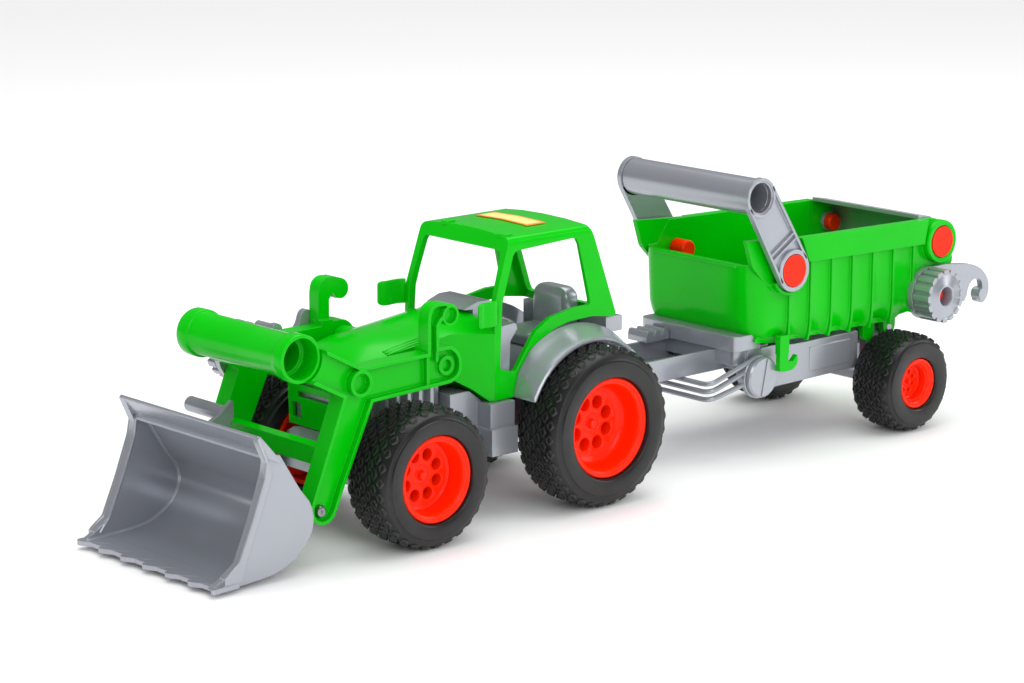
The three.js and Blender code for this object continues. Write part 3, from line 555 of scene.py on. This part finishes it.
def carcass(wheel):
    """The tyre without its blocks: two side walls and a nearly flat tread between its shoulders."""
    inner, radius, bead = TYRE_FACE - wheel["width"], wheel["radius"], wheel["rim"]
    wall = [(bead + 0.3, -1.6), (bead + 0.9, -0.6), (bead + 2, -0.2), (radius * 0.8, 0),
            (radius * 0.83, -0.15), (radius * 0.842, -0.9), (radius * 0.85, -1.2)]
    shoulder, steps = 1.5, 14
    span = wheel["width"] - 2 * shoulder
    places = [TYRE_FACE - shoulder - span * i / steps for i in range(steps + 1)]
    outer = [(r, TYRE_FACE + d) for r, d in wall]
    back = [(r, inner - d) for r, d in reversed(wall)]
    return lathe(outer + [(tread_radius(wheel, x), x) for x in places] + back, (wheel["y"], radius), 160)


def lug(wheel, angle, x, along, across, height):
    """One tread block: a low square frustum with cut corners and a sunk middle."""
    cut = 0.28
    corners = [(1, cut), (cut, 1), (-cut, 1), (-1, cut), (-1, -cut), (-cut, -1), (cut, -1), (1, -cut)]
    rings = []
    for size, rise in [(1.06, -1), (1, height * 0.8), (0.93, height), (0.72, height), (0.6, height * 0.5)]:
        ring = []
        for u, v in corners:
            place = x + v * size * across / 2
            turn = angle + u * size * along / 2 / wheel["radius"]
            centre = (wheel["y"], wheel["radius"])
            ring.append((place, *polar(centre, tread_radius(wheel, place) + rise, turn)))
        rings.append(ring)
    return loft(rings)


def tyre(wheel):
    """A carcass with rows of blocks. Every other row is half a block further on, and the outer rows are
    smaller and lower."""
    shells = [carcass(wheel)]
    margin = 2.6
    pitch = (wheel["width"] - 2 * margin) / LUG_ROWS
    for row in range(LUG_ROWS):
        x = TYRE_FACE - wheel["width"] + margin + pitch * (row + 0.5)
        size, height = (0.9, 0.75) if row in (0, LUG_ROWS - 1) else (1, 1)
        for i in range(wheel["lugs"]):
            angle = 2 * math.pi * (i + 0.5 * (row % 2)) / wheel["lugs"]
            shells.append(lug(wheel, angle, x, wheel["lug"] * size, pitch * 0.9, TREAD_DEPTH * height))
    return joined(shells)


def pierced_ring(inner, outer, hole, face, centre):
    """A flat ring between two radii with round holes through it, made of clean quads round each hole."""
    step = 2 * math.pi / RIM_HOLES
    side_steps, arc_steps = 6, 12
    side = [outer + (inner - outer) * i / side_steps for i in range(1, side_steps)]
    sectors = []
    for sector in range(RIM_HOLES):
        low, middle, high = [(sector + part) * step for part in (0, 0.5, 1)]
        edge = arc_points(centre, outer, low, high, arc_steps) + [polar(centre, r, high) for r in side]
        edge += arc_points(centre, inner, high, low, arc_steps) + [polar(centre, r, low) for r in side[::-1]]
        hub = polar(centre, (inner + outer) / 2, middle)
        around = [math.atan2(z - hub[1], y - hub[0]) for y, z in edge]
        rings = [[(face, y, z) for y, z in edge]]
        for size, drop in ((hole + 0.35, 0), (hole + 0.1, 0.12), (hole, 0.4), (hole, RIM_DISC_THICK)):
            rings.append([(face - drop, *polar(hub, size, turn)) for turn in around])
        sectors.append(bands(rings))
    return joined(sectors)


def rim(wheel):
    """A dished rim: a stepped barrel, a disc pierced by round holes and a raised boss."""
    outer, face, disc, hub = wheel["rim"], wheel["face"], wheel["disc"], wheel["hub"]
    inner = TYRE_FACE - wheel["width"]
    floor = face - wheel["depth"]
    rear = floor - RIM_BACK
    barrel = outer - 4.4
    centre = (wheel["y"], wheel["radius"])
    dish = [
        (disc, floor), (disc + 0.5, floor + 0.1), (disc + 0.9, floor + 0.5), (disc + 1.6, floor + 0.75),
        (disc + 3 * (barrel - disc) / 5, floor + 1.4), (barrel - 0.9, floor + 3.4),
        (barrel - 0.3, floor + 6), (barrel, face - 3.4), (barrel + 0.5, face - 2.1),
        (outer - 3.2, face - 1.3), (outer - 2.5, face - 1.1), (outer - 2.3, face - 0.5),
        (outer - 1.9, face - 0.1), (outer - 1.2, face), (outer - 0.5, face - 0.15),
        (outer - 0.1, face - 0.6), (outer, face - 1.3), (outer, inner), (outer - 2.2, inner),
        (outer - 2.6, floor), (outer - 3, rear), (disc, rear),
    ]
    boss = [
        (hub, floor), (hub - 0.25, floor + 0.35), (hub - 0.8, floor + 0.5), (hub - 1.2, floor + 0.35),
        (hub - 1.6, floor - 0.4), (hub * 0.5, floor - 0.5), (hub * 0.42, floor + 0.2),
        (hub * 0.38, floor + 2.2), (hub * 0.3, floor + 2.6), (hub * 0.14, floor + 2.5),
        (hub * 0.1, floor + 2.1), (ON_AXIS, floor + 2.1),
    ]
    profiles = [dish, boss, [(disc, rear), (ON_AXIS, rear)]]
    ring = pierced_ring(hub, disc, wheel["hole"], floor, centre)
    return joined([open_lathe(profile, centre) for profile in profiles] + [ring])


def wheels(name, wheel):
    """The tyre and the rim of a left wheel, and their mirror images on the right."""
    for way, flip in (("left", lambda shell: shell), ("right", mirrored)):
        body = f"{name}_wheel_{way}"
        refine(f"{name}_tyre_{way}", flip(tyre(wheel)), body, "tyre_black", sharp=40)
        refine(f"{name}_rim_{way}", flip(rim(wheel)), body, "red_plastic", sharp=40)


# ---------- tubes and handle ----------
def grip_tube():
    """The loader's open-ended grip, with a collar and a stepped bore at either end."""
    half, collar, tube = GRIP["half"], GRIP["collar"], GRIP["tube"]
    step, bore = 10.9, 8.8
    end = [
        (tube, 35.6), (tube + 0.25, 36.4), (collar - 0.3, 36.8), (collar, 37.3), (collar, half - 0.9),
        (collar - 0.3, half - 0.25), (collar - 0.9, half), (step + 0.5, half), (step + 0.1, half - 0.2),
        (step, half - 0.7), (step, 33.3), (step - 0.5, 33), (bore + 0.4, 33), (bore, 32.6),
    ]
    shell = lathe(both_ends(end), (GRIP["y"], GRIP["z"]))
    refine("loader_grip_tube", shell, "loader", "green_plastic", sharp=40)


def handle_tube():
    """The tube between the handle's arms."""
    outer, half, bore = 10.8, HANDLE_IN - 0.3, HANDLE_BORE
    end = [(outer, half), (bore + 0.4, half), (bore + 0.05, half - 0.3), (bore, half - 0.8)]
    refine("handle_tube", lathe(both_ends(end), HANDLE_TUBE), "handle", "silver_plastic", sharp=40)


def handle_arm():
    """The left arm: rings round the tube and the cap, and a sunk panel between two thin edges."""
    low, high = Vector(HANDLE_PIVOT), Vector(HANDLE_TUBE)
    low_ring, high_ring, edge = 12.6, 11.6, 1.5
    face, floor, bore, cap = HANDLE_OUT, HANDLE_OUT - 1.9, HANDLE_BORE, CAP_RADIUS
    along = (high - low).normalized()
    out = Vector((-along.y, along.x))

    def spot(share, way, inset=0):
        """A point at a share of the arm's length, on one of its sides (way is 1 or -1) or inset from it."""
        reach = low_ring + (high_ring - low_ring) * share - inset
        return low + (high - low) * share + out * way * reach

    sides = [prism([spot(0, way), spot(1, way), spot(1, way, edge), spot(0, way, edge)], HANDLE_IN, face)
             for way in (1, -1)]
    back = math.atan2(-along.y, -along.x)
    notch = arc_points(HANDLE_TUBE, high_ring - 1.2, back + 1.4, back - 1.4, 16)
    panel = prism([spot(0, -1, edge), *notch, spot(0, 1, edge)], HANDLE_IN, floor)
    ribs = []
    for share in (0.29, 0.36):
        left, right, thick = spot(share, 1, edge), spot(share, -1, edge), along * 0.6
        corners = [left - thick, right - thick, right + thick, left + thick]
        ribs.append(prism(corners, floor - 0.2, face - 0.4))
    top = lathe([(bore, HANDLE_IN), (bore, face - 1), (bore + 0.9, face - 0.9), (bore + 1, face - 0.2),
                 (bore + 1.2, face), (high_ring - 0.4, face), (high_ring, face - 0.4),
                 (high_ring, HANDLE_IN)], HANDLE_TUBE, 96)
    foot = lathe([(4.4, HANDLE_IN), (4.4, floor), (cap + 0.3, floor), (cap + 0.4, face - 0.2),
                  (cap + 0.6, face), (low_ring - 0.4, face), (low_ring, face - 0.4),
                  (low_ring, HANDLE_IN)], HANDLE_PIVOT, 96)
    return joined(sides + [panel, top, foot] + ribs)


def handle_arms():
    refine_pair("handle_arm", handle_arm(), "handle", "silver_plastic", sharp=35)


# ---------- cab ----------
def cushion_ring(z, half, front, back):
    """One level of a seat cushion: a rounded rectangle at a height."""
    corner = 4
    outline = [(-half, front, corner), (half, front, corner), (half, back, corner), (-half, back, corner)]
    return [(x, y, z) for x, y in rounded(outline)]


def driver_seat():
    """A seat base and a leaning backrest, both with tops that round over."""
    foot, base_top, back_top, base_rear, back_rear, turns = 84, 88.4, 105.6, 20, 27.5, 6
    back = [cushion_ring(z, 14.4, 15.4 + 0.05 * (z - foot), back_rear) for z in (foot, 90, 96, 102, back_top)]
    base = [cushion_ring(foot, 14, -11.6, base_rear), cushion_ring(base_top, 14.2, -12, base_rear)]
    for i in range(1, turns + 1):
        turn = math.pi / 2 * i / turns
        rise, fall = math.sin(turn), 1 - math.cos(turn)
        back.append(cushion_ring(back_top + 6.8 * rise, 14.4 - 6 * fall, 16.4 + 2.6 * fall,
                                 back_rear - 2.6 * fall))
        base.append(cushion_ring(base_top + 2 * rise, 14.2 - 2 * fall, -12 + 2 * fall, base_rear))
    refine("driver_seat", joined([loft(back), loft(base)]), "tractor", "silver_plastic", sharp=40)


def mirrors():
    """A curved paddle in front of each windscreen pillar, narrower towards its tip."""
    line = curved([(39, -56), (40.8, -59.8), (40.9, -64.4), (40.5, -68.4), (42.6, -73)], steps=4)
    middle, half_tall, half_thick, tip_from, columns = 113.5, 7, 0.8, 0.8, 8
    grids = []
    for way in (half_thick, -half_thick):
        grid = []
        for i, (x, y) in enumerate(line):
            tip = max(0, i / (len(line) - 1) - tip_from) / (1 - tip_from)
            half = half_tall - 1.8 * tip ** 3
            grid.append([(x + way, y, middle + half * (2 * k / columns - 1)) for k in range(columns + 1)])
        grids.append(grid)
    refine_pair("mirror", slab(*grids), "tractor", "green_plastic", sharp=50, soften=0.5)


def hood_details():
    """Three raised gill lines along the hood's shoulder and two small tabs on the roof's front edge."""
    gills = []
    gill_radius, apart = 0.55, 1.9
    for i in range(3):
        front = Vector((24 + apart * i, -124, 99.2 - 0.55 * i))
        back = Vector((22 + apart * i, -97, 103 - 0.5 * i))
        gills.append(tube_along([front, back], gill_radius))
    make("hood_gills.fine", joined(gills), "tractor", "green_plastic")
    tabs = []
    tab_half, tab_tall = 2.6, 2.4
    for x, top in ((-18, 155), (29, 154)):
        foot = top - tab_tall
        wedge = [(-45.9, foot, 0.4), (-45.2, top - 0.3, 0.4), (-39, top, 0.4), (-39, foot)]
        tabs.append(prism(wedge, x - tab_half, x + tab_half))
    make("roof_tabs.fine", joined(tabs), "tractor", "green_plastic", soften=0.3)


def roof_label():
    """A thin label that follows the roof's crown."""
    thick, crown = 0.4, LABEL["crown"]
    top = [(x, z + thick) for x, z in reversed(crown)] + [(-x, z + thick) for x, z in crown[1:]]
    under = [(-x, z) for x, z in reversed(crown[1:])] + crown
    refine("roof_label", prism(top + under, LABEL["front"], LABEL["back"], "y"), "tractor", "label")


# ---------- bucket ----------
def bucket_lip():
    """The cutting edge with its row of hooked teeth."""
    land, tip, hook, root, heel = 2.4, -265.2, -263.6, -257, -248
    pitch = (2 * BUCKET_HALF - land) / (TEETH - 1)
    edge = []
    for i in range(TEETH):
        x = pitch * i - BUCKET_HALF
        edge += [(x - 0.2, root, 1), (x, hook, 1), (x + 1.2, tip, 1)]
        if i < TEETH - 1:
            edge += [(x + 4, -264.9, 2), (x + 9, -262.4, 2), (x + 14, -259.4, 3), (x + pitch - 2, -256.6, 2)]
    edge.append((edge[-1][0] + land, tip, 1))
    return prism(edge + [(BUCKET_HALF, heel), (-BUCKET_HALF, heel)], 2.6, 5.2, "z")


def bucket():
    """A scoop between two cheeks, with a raised rim, rolled edges, a top flange and two pivot ears."""
    back, floor = curved(BUCKET_BACK), curved(BUCKET_FLOOR)
    plate = prism(back + floor[::-1], -BUCKET_INNER, BUCKET_INNER)
    cheek = prism(back + BUCKET_MOUTH, BUCKET_INNER, BUCKET_BODY)
    band = prism(BUCKET_RIM, BUCKET_INNER + 0.3, BUCKET_HALF)
    ear = prism([(-202.4, 38.4), (-188, 34.6, 3), (-182, 33, 3), (-179.8, 28.3, 3), (-182, 23.6, 3),
                 (-188, 22, 3), (-202.6, 19), (-200.4, 25), (-200.4, 32)], 33.5, 39.2)
    outer_edge = [(-234.2, 77.8), (-228.9, 65), (-230.6, 56.4), (-239, 34.8), (-247.8, 15), (-256, 9)]
    inner_edge = [(-228.2, 65.6), (-229.6, 56.4), (-238, 34.8), (-246.8, 15), (-253, 7.4)]
    beads = [tube_along(bent_path([(x, y, z) for y, z in line], 1), size)
             for line, x, size in ((outer_edge, 59.7, 0.9), (inner_edge, 55.2, 0.7))]
    beads.append(tube_along([Vector((54.9, y, z)) for y, z in floor], 0.8))
    sides = [cheek, band, ear] + beads
    flange = prism(BUCKET_FLANGE, 0.3 - BUCKET_HALF, BUCKET_HALF - 0.3)
    cross = [tube_along([Vector((-half, y, z)), Vector((half, y, z))], size)
             for half, y, z, size in ((59.7, -234.2, 77.8, 0.95), (55, -228, 65.8, 0.8))]
    shell = joined(sides + [mirrored(side) for side in sides] + [plate, flange, bucket_lip()] + cross)
    refine("bucket", shell, "bucket", "silver_plastic", sharp=38)


def bucket_screws():
    """Pan-head screws. A thin raised cross stands for the recess in the head."""
    y, z = BUCKET_PIVOT
    head = lathe([(ON_AXIS, 48.6), (0.5, 48.6), (0.9, 49.3), (1.6, 49.35), (2.6, 49.1), (3.2, 48.4),
                  (3.4, 47.4), (3.4, 46.9), (1.5, 46.8), (1.5, 34), (ON_AXIS, 34)], BUCKET_PIVOT, 48)
    long, narrow = 2.1, 0.3
    bars = [prism([(y - a, z - b), (y + a, z - b), (y + a, z + b), (y - a, z + b)], 49, 49.45)
            for a, b in ((long, narrow), (narrow, long))]
    refine_pair("bucket_screw", joined([head] + bars), "bucket", "steel", sharp=35)


# ---------- trailer running gear ----------
def gear(name, centre, start, end, on_right=False):
    """A ratchet gear on a body of its own: a core with an open eye, and broad rounded teeth round it."""
    root, tip, eye, bore, teeth = 14.7, 16.5, 5.4, 3.4, 16
    profile = [(bore, start), (bore, start + 3.6), (eye, start + 3.8), (eye, end - 1.2),
               (eye + 0.6, end - 0.1), (eye + 1.6, end), (eye + 2.2, end - 0.5), (root - 0.6, end - 0.5),
               (root, end - 0.9), (root, start)]
    shells = [lathe(profile, centre, 96)]
    pitch = 2 * math.pi / teeth
    for i in range(teeth):
        corners = [(-0.4, root - 0.8), (-0.33, tip, 1.2), (0.33, tip, 1.2), (0.4, root - 0.8)]
        outline = [(*polar(centre, reach, (i + share) * pitch), *bend) for share, reach, *bend in corners]
        shells.append(prism(outline, start + 0.3, end - 0.3))
    shell = joined(shells)
    refine(name, mirrored(shell) if on_right else shell, name, "silver_plastic", sharp=40)


def stand():
    """Three bars bent into a U, between the two discs that they swing on."""
    bars = []
    for (y, z), low in STAND_BARS:
        corners = [(STAND_SIDE, y, z), (STAND_SIDE, STAND_END, low), (-STAND_SIDE, STAND_END, low),
                   (-STAND_SIDE, y, z)]
        bars.append(tube_along(bent_path(corners, 7), BAR_RADIUS))
    profile = [(3.4, 40.9), (12.6, 40.9), (13, 41.3), (13, 43.5), (12.6, 43.9), (3.4, 43.9)]
    disc = lathe(profile, STAND_PIVOT, 96)
    refine("parking_stand", joined(bars + [disc, mirrored(disc)]), "stand", "silver_plastic", sharp=40)


def trailer_frame():
    """The deck with its skirt and beam, two side rails with bosses and plates, and the box round the axle."""
    deck_half, skirt_half, box_half, pin_half = 40.5, 37, 30.6, 36.4
    deck = prism([(-deck_half, 127, 7), (deck_half, 127, 7), (deck_half, 150, 4), (-deck_half, 150, 4)],
                 63.2, 72.4, "z")
    skirt = prism([(-skirt_half, 130, 5), (skirt_half, 130, 5), (skirt_half, 158), (-skirt_half, 158)],
                  54, 64, "z")
    beam = block(-30, 30, 137, 262, 50, 62.9)
    axle_box = prism([(246, 56), (246, 30, 3), (250, 25, 3), (261, 25, 3), (265, 30, 3), (265, 56)],
                     -box_half, box_half)
    pin = rod((266, 58), 2.4, -pin_half, pin_half)
    rail = prism([(139, 63), (137.6, 46, 4), (142, 38.4, 4), (156, 37.2), (235, 38.2, 1), (235, 60.8, 1.5),
                  (178, 60.8), (160, 62.9)], 30.5, 38.7)
    boss = rod(STAND_PIVOT, 9, 34, 40.5)
    plate = prism([(192, 42, 1), (228, 42.6, 1), (228, 57, 1), (192, 57, 1)], 38.6, 39.3)
    sides = [rail, boss, plate]
    shell = joined([deck, skirt, beam, axle_box, pin] + sides + [mirrored(side) for side in sides])
    refine("trailer_frame", shell, "trailer", "silver_plastic", soften=0.9)


# ---------- trailer tub ----------
def tub_side(y, z):
    """How far out the scalloped side stands: round hollows between the ribs and a tucked-in foot."""
    along = (y - RIB_FIRST) / RIB_PITCH
    if 0 <= along <= RIBS - 1:
        ridge = abs(2 * (along % 1) - 1)
    else:
        ridge = max(0, 1 - 2 * max(-along, along - (RIBS - 1)))
    tuck_from, tuck_tall, tuck_deep = 82, 16, 8
    low = max(0, min(1, (tuck_from - z) / tuck_tall))
    tuck = (1 - math.sqrt(1 - low ** 2)) * (tuck_deep - 6 * ridge ** 3)
    return TUB_WALL + RIB_SWELL * ridge ** 2 - tuck


def tub_column(step, inwards):
    """One upright line of the tub's wall, from its foot to its top edge. step is where it stands along the
    wall: ("side", y), ("corner", angle) or ("front", share of the half width). Rows crowd near the foot."""
    kind, value = step
    rows, crowding, thinnest = 22, 1.4, 1.4
    foot = between(TUB_FOOT, value) if kind == "side" else TUB_FRONT[0][0]
    head = between(TUB_HEAD, value) if kind == "side" else TUB_FRONT_TOP
    points = []
    for i in range(rows + 1):
        z = foot + (head - foot) * (i / rows) ** crowding
        front = between(TUB_FRONT, z) + inwards
        half = tub_side(TUB_SIDE_FRONT, z) - inwards
        if kind == "side":
            edge = tub_side(value, z)
            points.append((min(TUB_INNER, edge - thinnest) if inwards else edge, value, z))
        elif kind == "corner":
            reach = TUB_CORNER - inwards
            points.append((half - reach * (1 - math.cos(value)), front + reach * (1 - math.sin(value)), z))
        else:
            points.append((value * (half - TUB_CORNER), front, z))
    return points


def tub_wall():
    """The left half of the tub's wall: its scalloped side, its front corner and half of its front."""
    sides = [RIB_FIRST + RIB_PITCH * (rib + part / RIB_PARTS) for rib in range(RIBS - 1)
             for part in range(RIB_PARTS)]
    sides += [RIB_FIRST + RIB_PITCH * (RIBS - 1), TUB_SIDE_BACK, TUB_SIDE_FRONT, RIB_FIRST - 1, RIB_FIRST - 3]
    corner_steps, front_steps = 10, 4
    steps = [("side", y) for y in sorted(sides, reverse=True)]
    steps += [("corner", math.pi / 2 * i / corner_steps) for i in range(corner_steps + 1)]
    steps += [("front", 1 - i / front_steps) for i in range(1, front_steps + 1)]
    grids = [[tub_column(step, inwards) for step in steps] for inwards in (0, TUB_THICK)]
    return slab(*grids, open_at_last=True)


def tub_ribs():
    """The thin upright ribs where the hollows meet."""
    shells = []
    root, head, steps = TUB_INNER + 1, 114, 12
    for i in range(RIBS):
        y = RIB_FIRST + RIB_PITCH * i
        foot = between(TUB_FOOT, y) - 0.6
        heights = [foot + (head - foot) * k / steps for k in range(steps + 1)]
        edge = [(tub_side(y, z) + RIB_FIN, z) for z in heights]
        outline = [(root, foot)] + edge + [(root, head)]
        shells.append(prism(outline, y - RIB_THICK / 2, y + RIB_THICK / 2, "y"))
    return shells


def foot_tongue(front, back, taper, start, end):
    """A rounded tongue that hangs from the tub's floor and narrows towards its tip."""
    outline = [(front, 69), (front, 57, 3), (front + taper, 52.7, 3), (back - taper, 52.7, 3), (back, 57, 3),
               (back, 69)]
    return prism(outline, start, end)


def tub_half():
    """The left half of the tub without its floor."""
    wing = prism([(127.8, 130.2), (132.9, 114.2, 2), (142.3, 104.4, 6), (159, 96, 2), (176, 96),
                  (176, 126.9)], TUB_INNER + 0.2, TUB_WALL + 0.7)
    band = prism([(171.6, 127.2, 1), (178.3, 112, 1.5), (281, 109.6), (284, 124.4)], TUB_WALL - 1, TUB_BAND)
    tail = prism([(278, 72.8), (311.3, 94.8, 3), (309.4, 104), (306.4, 112, 4), (302.8, 119.8, 5),
                  (293, 124.4, 5), (278, 124.4)], TUB_INNER + 0.1, TUB_WALL + 0.2)
    boss = lathe([(ON_AXIS, 49.8), (9.9, 49.8), (10.1, 51.4), (10.5, 51.6), (12.6, 51.6), (13.1, 51.2),
                  (13.3, 50.4), (13.3, TUB_WALL - 1), (ON_AXIS, TUB_WALL - 1)], GATE_PIVOT, 72)
    inner, outer, start, end, steps = 13.2, 15, math.radians(208), math.radians(314), 24
    arc = arc_points(HANDLE_PIVOT, outer, start, end, steps)
    arc += arc_points(HANDLE_PIVOT, inner, end, start, steps)
    cradle = prism(arc, 45.5, 51.4)
    tongues = [foot_tongue(240, 250, 3, 34.2, 38.2), foot_tongue(260.6, 271.4, 3.4, 31.4, 36.2)]
    return joined([tub_wall(), wing, band, tail, boss, cradle] + tongues + tub_ribs())


def tub():
    """The whole tub: two halves, a floor that rises towards the tailgate, and a ledge across the front."""
    floor_half, ledge_half = 42, 34
    floor = prism([(141, 67.6, 3), (153, 65.6), (263, 64), (268.6, 66.7), (311.3, 95), (308.8, 97.8),
                   (266, 69.4), (153, 69.6), (143, 70.6, 2)], -floor_half, floor_half)
    ledge = prism([(132, 112), (137.4, 112), (137.6, 113.8, 0.5), (132, 114.2, 1)], -ledge_half, ledge_half)
    left = tub_half()
    refine("trailer_tub", joined([left, mirrored(left), floor, ledge]), "tub", "green_plastic", sharp=38)


# ---------- carried-over solids ----------
def finish_cad(thing, finish):
    """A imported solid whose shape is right: its flats and curves shaded properly, and a finished material."""
    if "custom_normal" in thing.data.attributes:
        thing.data.attributes.remove(thing.data.attributes["custom_normal"])
    thing.data.polygons.foreach_set("use_smooth", [True] * len(thing.data.polygons))
    weld = thing.modifiers.new("shared points", "WELD")
    weld.merge_threshold = 0.01 * MM
    split = thing.modifiers.new("crisp edges", "EDGE_SPLIT")
    split.split_angle = math.radians(CAD_EDGE_BEND)
    thing.data.materials.clear()
    thing.data.materials.append(FINISH[finish])


def cad_slots():
    """Which finish each CAD node takes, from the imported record."""
    return {entry["node"]: entry["material_slot"] for entry in frame["record"]["subparts"]}


# ---------- the set ----------
def stage_floor():
    """One wide pale floor, far larger than the view."""
    reach, steps = 7000, 24
    places = [-reach + 2 * reach * i / steps for i in range(steps + 1)]
    points = [(x, y, 0) for y in places for x in places]
    corners = [j * (steps + 1) + i for j in range(steps) for i in range(steps)]
    faces = [[corner, corner + 1, corner + steps + 2, corner + steps + 1] for corner in corners]
    floor = bpy.data.objects.new("floor", mesh_of("floor", (points, faces)))
    bpy.context.scene.collection.objects.link(floor)
    material = bpy.data.materials.new("floor")
    material.use_nodes = True
    shader = material.node_tree.nodes["Principled BSDF"]
    shader.inputs["Base Color"].default_value = (0.93, 0.93, 0.93, 1)
    shader.inputs["Roughness"].default_value = 0.6
    shader.inputs["Specular IOR Level"].default_value = 0.2
    floor.data.materials.append(material)


def aimed(name, data, place, aim):
    """A lamp or a camera in the scene, at one place and turned towards another."""
    thing = bpy.data.objects.new(name, data)
    bpy.context.scene.collection.objects.link(thing)
    start, end = Vector(metres(place)), Vector(metres(aim))
    thing.location = start
    thing.rotation_euler = (end - start).to_track_quat("-Z", "Y").to_euler()
    return thing


def lamp(name, place, aim, size, power, size_y=None):
    """A soft rectangular lamp; its sizes are in millimetres and its power in watts."""
    light = bpy.data.lights.new(name, "AREA")
    light.shape = "RECTANGLE"
    light.size, light.size_y = size * MM, (size_y or size) * MM
    light.energy = power
    aimed(name, light, place, aim)


def studio():
    """A white room that shows dimmer in reflections, with three soft lamps."""
    world = bpy.data.worlds.new("studio")
    world.use_nodes = True
    tree = world.node_tree
    sky = tree.nodes["Background"]
    sky.inputs["Color"].default_value = (1, 1, 1, 1)
    in_reflection = node(tree, "ShaderNodeLightPath").outputs["Is Glossy Ray"]
    link(tree, spread(tree, in_reflection, 0, 1, 1.0, 0.22), sky.inputs["Strength"])
    bpy.context.scene.world = world
    lamp("overhead softbox", (-200, 300, 1500), (0, 0, 60), 1100, 12, size_y=1500)
    lamp("front softbox", (1500, -600, 900), (0, 0, 60), 900, 7)
    lamp("rim softbox", (900, 1500, 700), (0, 100, 80), 700, 5)
    bpy.context.scene.view_settings.view_transform = "Standard"
    bpy.context.scene.view_settings.look = "None"


def camera():
    """The camera that sees the rest pose from the front left."""
    lens = bpy.data.cameras.new("camera")
    lens.lens = CAMERA_LENS
    lens.sensor_width = CAMERA_SENSOR
    lens.sensor_fit = "HORIZONTAL"
    lens.clip_end = 50
    bpy.context.scene.camera = aimed("camera", lens, CAMERA_AT, CAMERA_TO)


# ---------- assembly ----------
camera()
studio()
stage_floor()

wheels("front", FRONT)
wheels("rear", REAR)
wheels("trailer", CART)
grip_tube()
handle_tube()
handle_arms()
driver_seat()
mirrors()
hood_details()
bucket()
gear("trailer_gear", **TRAILER_GEAR)
gear("loader_gear", **LOADER_GEAR, on_right=True)
bucket_screws()
stand()
trailer_frame()
tub()
roof_label()

finishes = cad_slots()
for node_name, cad_node in frame["nodes"].items():
    if not cad_node.hide_render:
        finish_cad(cad_node, finishes[node_name])
